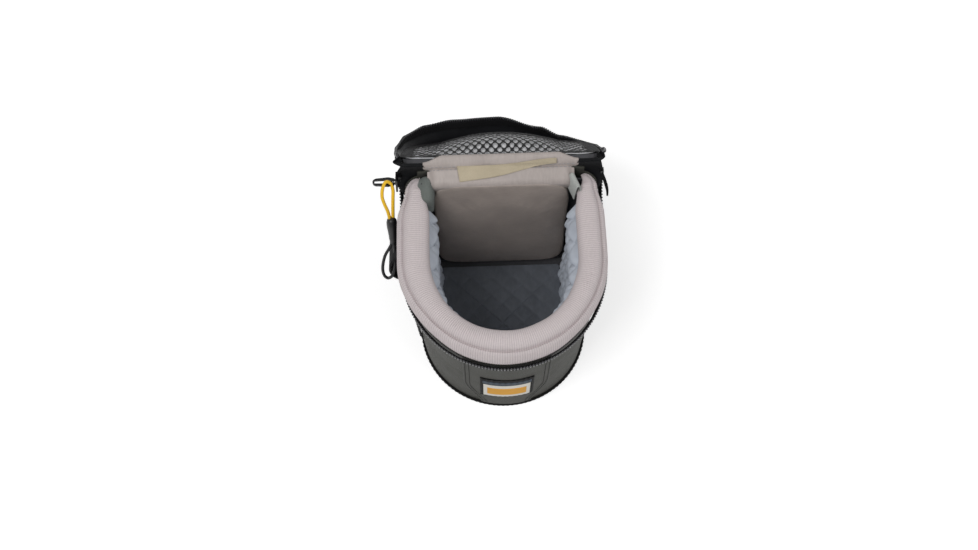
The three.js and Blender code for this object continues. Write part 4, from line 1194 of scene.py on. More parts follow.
@dataclass
class Collar:
    """The padded knit collar: a roll, a shallow valley and an outer ridge that tucks down to the zip.

    The section runs from the roll's inner foot over its top to the zip. Each of its points is a share of the
    roll's width outwards from its outer side, and a share of its height upwards from its foot.
    """

    width: float = 16 * MM
    proud: float = 0.6 * MM
    end_width_share: float = 0.36
    end_gap: float = 0.12
    slope: float = math.radians(3.6)
    rear_depth: float = 57 * MM
    close_share: float = 0.02
    rear_share: float = 0.75
    rise_limit: float = 3.8 * MM
    section_long: float = 48 * MM
    rib_pitch: float = 1.5 * MM
    rib_depth: float = 0.32 * MM
    foot: float = 119 * MM
    sway_out: float = 0.3 * MM
    sway_out_size: float = 18 * MM
    sway_up: float = 0.45 * MM
    sway_up_size: float = 24 * MM
    shut_at: Tuple[float, float] = (-0.45, 0.6)
    draw_offset: float = -1.8 * MM
    section: Tuple[Tuple[float, float], ...] = (
        (-0.74, -0.12), (-0.97, 0.16), (-1.03, 0.5), (-0.91, 0.83), (-0.62, 1.0), (-0.36, 0.96), (-0.22, 0.8),
        (-0.165, 0.61), (-0.09, 0.66), (0.0, 0.55), (0.05, 0.28), (0.05, -0.02), (0.01, -0.28), (-0.05, -0.5),
        (-0.06, -0.72))
    left_bulge: float = 3.2 * MM
    right_bulge: float = 1.2 * MM

    def shape(self, run: float) -> Tuple[float, float, float, float]:
        """Works out the roll's size.

        Args:
            run: distance along the mouth, right positive.

        Returns:
            Its outer offset, its width, its top and its bottom.
        """
        at = WALL.place(run, WALL.zip_height)
        depth = max(at.y, 0.0)
        draw = smooth(depth, WALL.turn_depth * 0.8, WALL.side_length)
        beyond = clamp((abs(run) - WALL.front_run - WALL.side_length) / WALL.corner_length)
        width_share = lerp(lerp(1, self.rear_share, draw), self.end_width_share, beyond)
        outer = lerp(self.proud, self.draw_offset, draw)
        roll = box_of("collar_cover")
        front = WALL.place(0, WALL.zip_height).y
        slope = (roll[1].z - self.rear_top(roll)) / (front - self.rear_depth)
        top = roll[1].z + (at.y - front) * slope
        bottom = self.foot + min(WALL.rise_at(depth), self.rise_limit)
        full = (self.left_bulge if run < 0 else self.right_bulge) * smooth(abs(run), 45 * MM, 100 * MM)
        full *= 1 - smooth(depth, 24 * MM, 54 * MM)
        return outer + full, self.width * width_share + full, top, bottom

    @cached_property
    def outline(self) -> Route:
        """The section as a smooth line."""
        return Route(tuple(Vector((out, up, 0)) for out, up in self.section))

    def rear_top(self, roll: Tuple[Vector, Vector]) -> float:
        """Returns the height of the roll's top at its rear ends, which the lid's slope sets."""
        return roll[1].z - (WALL.mouth_front + self.rear_depth) * math.tan(self.slope)

    def point(self, u: float, v: float) -> Vector:
        """Finds a point of the knit.

        Args:
            u: share of the way along the mouth.
            v: share of the way round the section.

        Returns:
            The point, raised where a rib stands.
        """
        end = WALL.rear_run - WALL.corner_length * self.end_gap
        run = lerp(-end, end, u)
        outer, width, top, bottom = self.shape(run)
        spot, way = self.outline.at(v), self.outline.along(v)
        shut = 1 - math.sqrt(clamp(min(u, 1 - u) / self.close_share))
        spot = spot.lerp(Vector((*self.shut_at, 0)), shut * shut)
        rib = self.rib_depth * (abs(math.sin(math.pi * (run + end) / self.rib_pitch)) - 0.6)
        normal = Vector((-way.y * width, way.x * (top - bottom))).normalized()
        offset = outer + spot.x * width + normal.x * -rib
        level = bottom + spot.y * (top - bottom) + abs(normal.y) * rib
        if spot.y < 0:
            level += 0.5 * (bottom - self.foot) * -spot.y
        sway = Vector((run, v * 40 * MM, 0))
        offset += self.sway_out * wander(sway, self.sway_out_size)
        level += self.sway_up * wander(sway, self.sway_up_size, 4)
        return WALL.place(run, level, offset)

    def build(self) -> None:
        """Builds the knit collar."""
        length = 2 * (WALL.rear_run - WALL.corner_length * self.end_gap)
        ribs = round(length / self.rib_pitch)
        bm = Mesher.grid(ribs * 6, 52, self.point, (length, self.section_long), flip=True)
        knit = Mesher.piece("collar_knit", bm, RIBBED, "ribbed_knit", thickness=0.8 * MM,
                            replaces=["collar_cover", "collar_foam", "collar_piping"])


@dataclass
class Lining:
    """The quilted lining of the walls and the cushion on the floor."""

    inner: float = -12.8 * MM
    tuft: float = 4.2 * MM
    pitch: float = 14.5 * MM
    end_depth: float = 43 * MM
    thickness: float = 1.0 * MM
    upper_bulge: float = 4.8 * MM
    tuck: float = 5.5 * MM
    plumpness: float = 0.42
    tuft_stretch: float = 0.82
    bulge_depth: float = 45 * MM
    crease: float = 0.12 * MM
    crease_size: float = 3 * MM
    floor_inset: float = 1.2 * MM
    floor_roll: float = 0.12
    floor_tuft: float = 0.9 * MM
    tall: float = 103 * MM

    def pillow(self, along: float, up: float) -> float:
        """Returns how proud a tuft stands, 0 to 1, on a diamond quilt."""
        first = abs(math.sin(math.pi * (along / self.pitch + up / self.pitch)))
        second = abs(math.sin(math.pi * (along / self.pitch - up / self.pitch)))
        return (first * second) ** self.plumpness

    def wall_point(self, u: float, v: float) -> Vector:
        """Finds a point of the wall's lining.

        Args:
            u: share of the way round.
            v: share of its height.

        Returns:
            The point on the quilted face.
        """
        end = WALL.front_run + self.end_depth
        run = lerp(-end, end, u)
        low, high = box_of("quilted_lining")
        height = lerp(low.z, high.z + self.tuck, v)
        proud = self.tuft * self.pillow(run * self.tuft_stretch, height - high.z + self.pitch / 2)
        proud += self.upper_bulge * smooth(height, high.z - self.bulge_depth, high.z - 8 * MM)
        proud *= 1 - 0.75 * smooth(height, high.z - 2 * MM, high.z + self.tuck)
        crease = self.crease * wander(Vector((run * 2.5, height, 0)), self.crease_size)
        return WALL.place(run, height, self.inner + 0.8 * MM - proud - crease)

    def build(self) -> None:
        """Builds the lining's pieces."""
        end = WALL.front_run + self.end_depth
        bm = Mesher.grid(420, 150, self.wall_point, (2 * end, self.tall), flip=True)
        lining = Mesher.piece("quilted_lining_cloth", bm, QUILT, "quilted_satin", replaces=["quilted_lining"],
                              thickness=self.thickness)
        low, high = box_of("floor_pad")
        full = WALL.full_run

        def face(u: float, v: float) -> Vector:
            """Returns a point of the floor cushion, round its rim from underneath to the middle of its top."""
            rim = WALL.place(lerp(-full, full, u), low.z, self.inner - self.floor_inset)
            share = v / self.floor_roll if v < self.floor_roll else 1 - (v - self.floor_roll) / (1 - self.floor_roll)
            level = low.z
            if v >= self.floor_roll:
                swell = math.sqrt(clamp(1 - share * share))
                level = lerp(low.z + 0.6 * MM, high.z - 0.6 * MM, 0.5 + 0.5 * swell)
                level -= self.floor_tuft * (1 - self.pillow(rim.x * share, rim.y * share)) * swell
            return Vector((rim.x * share, rim.y * share, level))

        floor = Mesher.grid(200, 60, face, (2 * full, WALL.base_front), wrap=True)
        # Its finish is the quilted satin darkened as painted shade.
        cushion = Mesher.piece("floor_cushion", floor, SHADED_FLOOR_SATIN, "quilted_satin", replaces=["floor_pad"])


@dataclass
class BackRest:
    """The satin cushion on the back wall, the band over its top and along the hinge, and the blank label.

    The band's section and the label's are depths and heights in millimetres, from the cushion over the roll, down
    into the sewn groove and up over the hinge to the lid's lining.
    """

    pad_crease: float = 0.5 * MM
    band_half: float = 49.5 * MM
    band_end: float = 13 * MM
    band_ruck: float = 0.45 * MM
    band_section: Tuple[Tuple[float, float], ...] = (
        (49.4, 119.0), (47.9, 124.0), (47.3, 128.0), (49.0, 131.2), (52.4, 132.9), (56.6, 134.4), (57.9, 133.8),
        (58.4, 135.4), (59.6, 137.4), (61.4, 139.2), (63.4, 140.0), (65.0, 139.3))
    band_droop: float = 3.2 * MM
    label_left: float = -28 * MM
    label_right: float = 35.5 * MM
    label_tall: float = 10.1 * MM
    label_end_share: float = 0.34
    label_section: Tuple[Tuple[float, float], ...] = (
        (61.0, 139.5), (59.0, 137.0), (57.6, 135.4), (54.6, 134.7), (51.6, 133.5), (49.0, 131.7), (47.2, 129.8))

    def build(self) -> None:
        """Builds the cushion, band and label."""
        low, high = box_of("back_pad")
        bm = Mesher.cushion(low + Vector((0.5, 0.4, 0.5)) * MM, high - Vector((0.5, 0.2, 0.5)) * MM, 7,
                            (180 * MM, 120 * MM), 128, 56)
        Filling().swell(bm)
        for vert in bm.verts:
            vert.co.y = clamp(vert.co.y, low.y - 1.5 * MM, high.y)
            vert.co.z = min(vert.co.z, high.z)
            drag = smooth(vert.co.z, low.z, high.z) * (1 - smooth(abs(vert.co.x), 20 * MM, 44 * MM))
            vert.co.y -= self.pad_crease * drag * wander(Vector((vert.co.x * 2, 0, vert.co.z)), 20 * MM, 6)
        cushion = Mesher.piece("back_cushion", bm, SATIN, "grey_satin", replaces=["back_pad"])
        self.build_band()
        self.build_label()

    def build_band(self) -> None:
        """Builds the pale band across the hinge, drawn in the open pose and left on no body."""
        section = Route.through(*((0, y, z) for y, z in self.band_section))

        def face(u: float, v: float) -> Vector:
            """Returns a point of the band."""
            x = lerp(-self.band_half, self.band_half, u)
            at = section.at(v)
            end = smooth(abs(x), self.band_half - self.band_end, self.band_half)
            droop = end * smooth(v, 0.6, 1.0)
            roll = end * end * (1 - smooth(v, 0.45, 0.6))
            ruck = self.band_ruck * wander(Vector((x, v * 20 * MM, 0)), 13 * MM, 8) * (1 - smooth(v, 0.7, 0.8))
            return Vector((x * (1 - 0.05 * roll), at.y - self.band_droop * droop + 1.5 * MM * roll,
                           at.z + ruck - self.band_droop * (0.7 * droop + 1.1 * roll)))

        bm = Mesher.grid(120, 44, face, (2 * self.band_half, section.length))
        band = Mesher.piece("hinge_band_cloth", bm, BAND, "pale_grosgrain", None, ["hinge_band"], thickness=0.5 * MM)
        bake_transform(band)
        stitches = bmesh.new()
        for inset in (0.46, 0.63):
            line = [face(lerp(0.03, 0.97, i / 50), inset) + Vector((0, 0, 0.1 * MM)) for i in range(51)]
            Stitching(1.9 * MM, 0.9 * MM, 0.22 * MM).row(stitches, line, lambda p: Vector((0, -0.4, 0.9)))
        Mesher.piece("hinge_band_stitches", stitches, PALE_THREAD, "pale_grosgrain")

    def build_label(self) -> None:
        """Builds the blank label, sewn in aslant so that it narrows to its right end."""
        section = Route.through(*((0, y, z) for y, z in self.label_section))
        tall = self.label_tall / section.length

        def face(u: float, v: float) -> Vector:
            """Returns a point of the label."""
            top = lerp(0.24, 0.04, smooth(u, 0.3, 1.0))
            share = top + v * tall * lerp(1.0, self.label_end_share, u)
            at = section.at(share)
            curl = 0.7 * MM * math.sin(math.pi * u * 2.2) * v + 0.9 * MM * u ** 3
            x = lerp(self.label_left + 1.6 * MM * v, self.label_right, u)
            return Vector((x, at.y - curl * 0.4, at.z + curl * 0.7))

        wide = self.label_right - self.label_left
        bm = Mesher.grid(64, 14, face, (wide, self.label_tall), flip=True)
        label = Mesher.piece("blank_label", bm, TWILL, "label_twill", replaces=["care_label"], thickness=0.3 * MM)


@dataclass
class Corners:
    """The cloth that closes the rear corners: inner corners, gussets at the hinge's ends and two folded ends."""

    lid: "Lid"
    hinge_half: float = 49 * MM
    inner_offset: float = -8.6 * MM
    inner_start: float = 41 * MM
    inner_lap: float = 9 * MM
    inner_drop: float = 11 * MM
    inner_pull: float = 0.8 * MM
    gusset_start: float = 50 * MM
    gusset_lap: float = 8 * MM
    gusset_drop: float = 5 * MM
    gusset_offset: float = 0.25 * MM
    root_bulge: Tuple[float, float] = (6.5 * MM, 4 * MM)
    lid_bulge: Tuple[float, float] = (3.6 * MM, 2.6 * MM)

    def axis_point(self, side: int, share: float) -> Vector:
        """Returns a point of the hinge's line, from the pouch's side to the hinge's end."""
        x = lerp(WALL.mouth_half_width + 1.4 * MM, self.hinge_half, share)
        return Vector((side * x, WALL.back, WALL.hinge_height))

    def build(self) -> None:
        """Builds both corners."""
        for side, name in ((-1, "left"), (1, "right")):
            self.build_inner(side, name)
            self.build_root_gusset(side, name)
            self.build_lid_gusset(side, name)
        self.build_ends()

    def build_inner(self, side: int, name: str) -> None:
        """Builds the cloth inside a rear corner, coloured dark as painted shade.

        Args:
            side: -1 for left, 1 for right.
            name: the side's name.
        """
        low = box_of("quilted_lining")[0].z
        high = box_of("back_pad")[1].z - 0.6 * MM
        start = WALL.front_run + self.inner_start
        end = WALL.rear_run + self.inner_lap

        def face(u: float, v: float) -> Vector:
            """Returns a point of the inner corner."""
            run = lerp(start, end, u)
            height = lerp(low, high - self.inner_drop * (1 - smooth(u, 0.3, 0.7)), v)
            pull = self.inner_pull * wander(Vector((run, height * 0.6, side * 9 * MM)), 14 * MM, 3)
            return WALL.place(side * run, height, self.inner_offset + pull)

        bm = Mesher.grid(30, 60, face, (end - start, high - low), flip=side > 0)
        Mesher.piece(f"inner_corner_{name}", bm, SHADED_CORNER_SATIN, "grey_satin", thickness=0.5 * MM)

    def build_root_gusset(self, side: int, name: str) -> None:
        """Builds the gusset from the wall's rear corner up to the hinge's line.

        Args:
            side: -1 for left, 1 for right.
            name: the side's name.
        """
        start = WALL.front_run + self.gusset_start
        end = WALL.rear_run + self.gusset_lap

        def face(u: float, v: float) -> Vector:
            """Returns a point of the gusset."""
            run = lerp(start, end, u)
            foot = WALL.place(side * run, shell_top(run) - self.gusset_drop, self.gusset_offset)
            at = foot.lerp(self.axis_point(side, u), v)
            bulge = self.root_bulge[side > 0] * arch(v) * arch(lerp(0.2, 1, u)) ** 0.7
            return at + Vector((side, 0.15, 0)) * (bulge * (1 + 0.3 * wander(at, 8 * MM, 4)))

        bm = Mesher.grid(30, 16, face, (end - start, 14 * MM), flip=side < 0)
        Mesher.piece(f"hinge_gusset_{name}", bm, BLACK, "black_nylon", thickness=0.6 * MM)

    def build_lid_gusset(self, side: int, name: str) -> None:
        """Builds the lid's gusset from the hinge's line to the end of its skirt.

        Args:
            side: -1 for left, 1 for right.
            name: the side's name.
        """
        lid = self.lid
        end = side * WALL.zip_run
        start = WALL.front_run + WALL.zip_place(end, 0, 0).y

        def far(u: float) -> Vector:
            """Returns a point of the open lid's edge, from its zip's end up its skirt and round to the hinge."""
            if u < 0.1:
                across = lerp(0.25 * MM, lid.skirt_above_zip, u / 0.1)
                return lid.open_relaxed(end, WALL.zip_place(end, across, lid.outer))
            if u < 0.4:
                return lid.skirt_point(end, (u - 0.1) / 0.3)
            return lid.turned(lid.crest(side * lerp(start, WALL.rear_run, (u - 0.4) / 0.6)))

        def face(u: float, v: float) -> Vector:
            """Returns a point of the gusset."""
            at = self.axis_point(side, u).lerp(far(u), v)
            bulge = self.lid_bulge[side > 0] * arch(v) * (1 - u) ** 0.5
            return at + Vector((side, 0, 0)) * (bulge * (1 + 0.3 * wander(at, 8 * MM, 5)))

        bm = Mesher.grid(40, 12, face, (24 * MM, 10 * MM), flip=side < 0)
        Mesher.piece(f"lid_gusset_{name}", bm, BLACK, "black_nylon", "lid", thickness=0.5 * MM)

    def build_ends(self) -> None:
        """Builds the folded knit end in the left corner and the waffle tab in the right one."""
        low, high = Vector((-54.5, 38, 108)) * MM, Vector((-43.0, 56.5, 130.6)) * MM
        bm = Mesher.cushion(low, high, 4.5, (60 * MM, 34 * MM), 72, 32)
        for vert in bm.verts:
            vert.co += Vector((1, 0.5, 0.8)) * (0.9 * MM * wander(vert.co, 7 * MM, 12))
            fold = math.exp(-((vert.co.x + 52 * MM) / (2.2 * MM)) ** 2)
            vert.co.z -= 2.2 * MM * fold * smooth(vert.co.z, 120 * MM, 129 * MM)
        end = Mesher.piece("folded_knit_end", bm, RETURN, "ribbed_knit", replaces=["corner_tab_left"])
        fold = Route.through((49.0, 46.5, 117), (48.8, 47.2, 126), (48.7, 47.8, 131.2), (47.3, 48, 133.0),
                             (45.6, 47.4, 132.0), (44.6, 46.4, 127), (44.2, 45.6, 120))
        across = Vector((0.35, -0.94, 0))

        def face(u: float, v: float) -> Vector:
            """Returns a point of the tab's tape."""
            return fold.at(u) + across * ((v - 0.5) * 11 * MM)

        tab = Mesher.grid(48, 14, face, (fold.length, 11 * MM))
        Mesher.piece("folded_waffle_tab", tab, WAFFLE, "pale_grosgrain", replaces=["corner_tab_right"],
                     thickness=0.8 * MM)


@dataclass
class ZipHalf:
    """One half of the zip: its tape, its row of teeth and a pale grain on each tooth as a painted highlight."""

    name: str
    body: str
    side: int
    tape_node: str
    chain_node: str
    width: float
    turned: Callable[[float, Vector], Vector]
    tape_offset: float = TAPE_OFFSET
    tape_thickness: float = 0.4 * MM
    core: float = 1.4 * MM
    slit: float = 0.25 * MM
    tooth_pitch: float = 1.9 * MM
    tooth_reach: float = 2.75 * MM
    tooth_inner: float = 1.5 * MM
    tooth_thickness: float = 2.0 * MM
    narrowing: float = 0.45

    def build(self) -> None:
        """Builds the tape and the teeth."""
        end = WALL.zip_run

        def tape(u: float, v: float) -> Vector:
            """Returns a point of the tape."""
            run = lerp(-end, end, u)
            width = self.width * lerp(1, self.narrowing, WALL.turn_share(run))
            across = self.side * lerp(self.slit, width, v)
            core = self.core * (1 - smooth(v, 0.2, 0.42))
            return self.turned(run, WALL.zip_place(run, across, self.tape_offset + core))

        bm = Mesher.grid(320, 14, tape, (2 * end, self.width), flip=self.side < 0)
        Mesher.piece(f"zip_tape_{self.name}", bm, TAPE, "zip_tape", self.body, [self.tape_node],
                     thickness=self.tape_thickness)
        teeth = bmesh.new()
        threads = bmesh.new()
        count = int(2 * end / self.tooth_pitch)
        for i in range(count):
            run = lerp(-end, end, (i + 0.5) / count)
            middle = self.side * (self.slit + self.tooth_reach / 2)
            offset = self.tooth_inner + self.tooth_thickness / 2
            at = self.turned(run, WALL.zip_place(run, middle, offset))
            along = (self.turned(run + MM, WALL.zip_place(run + MM, middle, offset)) - at).normalized()
            out = (self.turned(run, WALL.zip_place(run, middle, offset + MM)) - at).normalized()
            self.tooth(teeth, at, along, out)
            # A pale grain on the tooth's top stands in for the light it catches: a painted highlight.
            near = self.turned(run, WALL.zip_place(run, self.side * (self.slit + 0.25 * MM), offset + 0.35 * MM))
            Stitching(0.9 * MM, 0, 0.3 * MM).stitch(threads, near, out, out.cross(along))
        Mesher.piece(f"zip_teeth_{self.name}", teeth, TEETH, "zip_chain", self.body, [self.chain_node], sharp=80)
        Mesher.piece(f"zip_chain_thread_{self.name}", threads, PAINTED_TEETH_HIGHLIGHT, "zip_chain", self.body)

    def tooth(self, bm: BMesh, at: Vector, along: Vector, out: Vector) -> None:
        """Adds one tooth.

        Args:
            bm: the mesh to add to.
            at: its middle.
            along: the way along the zip.
            out: the way outwards.
        """
        across = out.cross(along)
        size = (self.tooth_pitch * 0.4, self.tooth_reach / 2, self.tooth_thickness / 2)
        turn = Matrix((along * size[0], across * size[1], out * size[2])).transposed().to_4x4()
        turn.translation = at
        made = bmesh.ops.create_uvsphere(bm, u_segments=6, v_segments=5, radius=1.0, matrix=turn)
        for vert in made["verts"]:
            local = turn.inverted() @ vert.co
            squared = max(abs(local.y), 1e-6) ** 0.55
            vert.co = turn @ Vector((local.x, math.copysign(squared, local.y), local.z))


@dataclass
class Lid:
    """The lid, drawn closed about its hinge and turned open: fabric, lining, net, skirt and binding.

    Its skirt hangs slack once unzipped. Each row of slack is a run in millimetres, the share of the skirt's height
    that still stands, and how many millimetres its zip edge leans inwards.
    """

    tilt: float = math.radians(3.6)
    open_angle: float = math.radians(232.4)
    hinge_margin: float = 1 * MM
    shell_thickness: float = 1.1 * MM
    skirt_inner: float = 1.5 * MM
    skirt_thickness: float = 1.0 * MM
    skirt_gap: float = 0.3 * MM
    lining_drop: float = 4.5 * MM
    lining_thickness: float = 0.5 * MM
    net_drop: float = 5.3 * MM
    net_clearance: float = 1.0 * MM
    net_inset: float = 1.5 * MM
    net_corner: float = 9 * MM
    net_strand: float = 1.0 * MM
    net_pitch: float = 5.3 * MM
    net_stretch: float = 2.2
    net_reach: float = 72 * MM
    net_sway: float = 0.5 * MM
    slack: Tuple[Tuple[float, float, float], ...] = (
        (-165, 0.42, 0), (-142, 0.16, -2), (-102, 0.2, -4), (-82, 0.4, -2), (-58, 0.58, 2), (-38, 0.66, 7),
        (0, 0.68, 9), (38, 0.45, 11), (58, 0.24, 9), (82, 0.12, 3), (102, 0.1, -1), (142, 0.14, -2), (165, 0.4, 0))
    fold_wave: float = 2.4 * MM
    ripple: float = 1.3 * MM
    dent: float = 2.2 * MM
    dent_run: float = -34 * MM
    dent_half: float = 9 * MM
    edge_wave: float = 1.2 * MM
    crown: float = 8 * MM
    crown_half_width: float = 43 * MM
    crown_front: float = -50 * MM
    crown_back: float = 42 * MM
    skirt_above_zip: float = 4.6 * MM
    binding_radius: float = 1.2 * MM
    binding_end: float = 55 * MM
    lining_ruck: float = 0.3 * MM
    lining_ruck_size: float = 9 * MM
    lining_inset: float = 1.5 * MM
    top_slack: float = 0.5 * MM
    top_wave: float = 24 * MM
    border_wide: float = 5.4 * MM
    hem_wide: float = 9.6 * MM
    hem_lap: float = 3 * MM
    tape_offset: float = 2.2 * MM

    @cached_property
    def opened(self) -> Matrix:
        """The turn from the closed lid to the open one."""
        hinge = Matrix.Translation((0, WALL.back, WALL.hinge_height))
        return hinge @ Matrix.Rotation(-self.open_angle, 4, "X") @ hinge.inverted()

    def turned(self, point: Vector) -> Vector:
        """Returns a closed lid's point on the open lid."""
        return self.opened @ point

    def plane(self, depth: float) -> float:
        """Returns the height of the closed lid's outer face at a depth."""
        return WALL.hinge_height + (WALL.back - depth) * math.tan(self.tilt)

    def skirt_top(self, depth: float) -> float:
        """Returns the height at which the closed lid's skirt starts at a depth."""
        return self.plane(depth) - self.shell_thickness - self.skirt_gap

    @property
    def outer(self) -> float:
        """How far outside the wall the skirt's face lies."""
        return self.skirt_inner + self.skirt_thickness

    @property
    def crown_middle(self) -> float:
        """Depth of the middle of the lid's padding."""
        return (self.crown_front + self.crown_back) / 2

    def crest(self, run: float) -> Vector:
        """Returns the point of the closed lid's edge where its skirt starts."""
        at = WALL.place(run, WALL.zip_height, self.outer)
        at.y = min(at.y, WALL.back - self.hinge_margin)
        at.z = self.skirt_top(at.y)
        return at

    def slack_at(self, run: float) -> Tuple[float, float]:
        """Finds how slack the skirt is.

        Args:
            run: distance along the zip, right positive.

        Returns:
            The share of its height that stands, and its lean inwards.
        """
        place = run / MM
        for (r0, k0, s0), (r1, k1, s1) in zip(self.slack, self.slack[1:]):
            if place <= r1:
                share = smooth(place, r0, r1)
                return lerp(k0, k1, share), lerp(s0, s1, share) * MM
        return self.slack[-1][1], self.slack[-1][2] * MM

    def relaxed(self, run: float, point: Vector) -> Vector:
        """Moves a point of the zipped skirt to where it hangs slack, on the closed lid.

        Args:
            run: distance along the zip, right positive.
            point: the point while zipped.

        Returns:
            The slack point.
        """
        top = self.crest(run).z
        tall = max(top - WALL.zip_place(run, 0, 0).z, MM)
        depth = (top - point.z) / tall
        stand, lean = self.slack_at(run)
        fold = clamp(depth)
        inward = -WALL.out_at(math.copysign(min(abs(run), WALL.front_run + 40 * MM), run), WALL.zip_height)
        wave = self.fold_wave * math.sin(math.tau * fold) * (1 - stand)
        ripple = self.ripple * fold * wander(Vector((run, fold * 14 * MM, 0)), 17 * MM, 9)
        dent = self.dent * arch(fold) * math.exp(-((run - self.dent_run) / self.dent_half) ** 2)
        moved = point + inward * (lean * depth + wave + ripple + dent)
        moved.z = top - depth * tall * stand + self.edge_wave * fold * wander(Vector((run, 0, 0)), 23 * MM, 2)
        return moved

    def open_relaxed(self, run: float, point: Vector) -> Vector:
        """Returns the slack skirt's point on the open lid."""
        return self.turned(self.relaxed(run, point))

    def crown_at(self, x: float, y: float) -> float:
        """Works out the padding's swell.

        Args:
            x: distance to the right of the middle.
            y: distance behind it.

        Returns:
            How much it swells there.
        """
        across = clamp(1 - (x / self.crown_half_width) ** 2)
        reach = (self.crown_back - self.crown_front) / 2
        along = clamp(1 - ((y - self.crown_middle) / reach) ** 4)
        return self.crown * across * along

    def rim(self, u: float, offset: float, back: float) -> Vector:
        """Finds a point of the lid's outline.

        Args:
            u: share of the way round it.
            offset: distance outwards from the wall.
            back: how far back it may reach.

        Returns:
            The point, at the zip's height.
        """
        full = WALL.full_run
        point = WALL.place(lerp(-full, full, u), WALL.zip_height, offset)
        point.y = min(point.y, back)
        return point

    def build(self) -> None:
        """Builds the lid's pieces."""
        self.build_fabric()
        self.build_skirt()
        self.build_lining()
        self.build_net()
        self.build_edges()

    def disc(self, offset: float, back: float, height: Callable[[float, float], float], rings: int,
             outward: bool) -> BMesh:
        """Makes a sheet over the lid's outline, from its middle to its rim.

        Args:
            offset: how far outside the wall its rim lies.
            back: how far back its rim may reach.
            height: the height of the closed lid's sheet at a place.
            rings: steps from the middle to the rim.
            outward: whether it faces outwards from the closed lid.

        Returns:
            The mesh, turned open.
        """
        def point(u: float, v: float) -> Vector:
            """Returns a point of the sheet."""
            rim = self.rim(u, offset, back)
            x, y = rim.x * v, lerp(self.crown_middle, rim.y, v)
            return self.turned(Vector((x, y, height(x, y))))

        bm = Mesher.grid(200, rings, point, (2 * WALL.full_run, WALL.mouth_front), wrap=True)
        facing = self.turned(Vector((0, 0, 0))) - self.turned(Vector((0, 0, 1 if outward else -1)))
        bmesh.ops.reverse_faces(bm, faces=[f for f in bm.faces if f.normal.dot(facing) > 0])
        return bm

    def build_fabric(self) -> None:
        """Builds the lid's outer fabric and its bound edge."""
        back = WALL.back - self.hinge_margin

        def height(x: float, y: float) -> float:
            """Returns the outer face's height, slightly slack."""
            return self.plane(y) - self.top_slack * (1 + wander(Vector((x, y, 0)), self.top_wave, 7))

        bm = self.disc(self.outer, back, height, 40, True)
        Mesher.piece("lid_fabric", bm, BLACK, "black_nylon", "lid", ["lid_shell"],
                     thickness=self.shell_thickness - 0.5 * MM)
        radius = self.binding_radius
        end = WALL.front_run + self.binding_end

        def roll(u: float, v: float) -> Vector:
            """Returns a point of the bound edge."""
            run = lerp(-end, end, u)
            offset = self.outer + 0.2 * MM + radius * math.cos(math.tau * v)
            at = WALL.place(run, WALL.zip_height, offset)
            at.z = self.plane(at.y) - self.shell_thickness - 0.1 * MM + radius * math.sin(math.tau * v)
            return self.turned(at)

        edge = Mesher.grid(260, 12, roll, (2 * end, BINDING_ROUND), wrap=True)
        Mesher.close(edge)
        Mesher.piece("lid_bound_edge", edge, BINDING, "binding_web", "lid", ["lid_binding"])

    def skirt_point(self, run: float, share: float) -> Vector:
        """Finds a point of the open lid's slack skirt.

        Args:
            run: distance along the zip, right positive.
            share: share of the way from its zip edge to its crest.

        Returns:
            The point, in metres.
        """
        low = WALL.zip_place(run, self.skirt_above_zip, self.outer)
        crest = WALL.zip_place(run, 0, self.outer)
        crest.z = self.skirt_top(crest.y)
        return self.open_relaxed(run, low.lerp(crest, share))

    def build_skirt(self) -> None:
        """Builds the skirt that joins the lid's face to its zip."""
        end = WALL.zip_run
        bm = Mesher.grid(300, 30, lambda u, v: self.skirt_point(lerp(-end, end, u), v), (2 * end, 20 * MM))
        Mesher.piece("lid_skirt_fabric", bm, BLACK, "black_nylon", "lid", ["lid_skirt"],
                     thickness=self.skirt_thickness)

    def build_lining(self) -> None:
        """Builds the pale lining over the lid's padding."""
        back = WALL.back - self.hinge_margin

        def height(x: float, y: float) -> float:
            """Returns the lining's height."""
            ruck = self.lining_ruck * wander(Vector((x, y, 0)), self.lining_ruck_size, 2)
            return self.plane(y) - self.lining_drop - self.lining_thickness - self.crown_at(x, y) + ruck

        bm = self.disc(-self.lining_inset, back - self.lining_inset, height, 50, False)
        lining = Mesher.piece("lid_lining_cloth", bm, LID_SATIN, "lid_satin", "lid", ["lid_lining"],
                              thickness=self.lining_thickness)

    def net_height(self, x: float, y: float) -> float:
        """Works out the net's height on the closed lid.

        Args:
            x: distance to the right of the middle.
            y: distance behind it.

        Returns:
            Its height, just clear of the lining's swell.
        """
        middle = self.crown_middle
        reach = math.hypot(x / self.crown_half_width, (y - middle) / (self.crown_back - middle))
        level = max(smooth(reach, 1.2, 1.4), smooth(y, self.crown_back, self.crown_back + 7 * MM))
        clearance = lerp(self.net_clearance, 0, level)
        return self.plane(y) - self.net_drop - clearance - self.crown_at(x, y)

    def inside_net(self, x: float, y: float, back: float) -> bool:
        """Tells whether a place of the closed lid is inside the net's outline.

        Args:
            x: distance to the right of the middle.
            y: distance behind it.
            back: how far back the net reaches.

        Returns:
            Whether the net covers it.
        """
        half = WALL.mouth_half_width - self.net_inset
        front = WALL.mouth_front - self.net_inset
        if y > back or abs(x) > half:
            return False
        if y > 0:
            corner = Vector((abs(x) - (half - self.net_corner), y - (back - self.net_corner)))
            return not (corner.x > 0 and corner.y > 0 and corner.length > self.net_corner)
        return (x / half) ** 2 + (y / front) ** 2 < 1

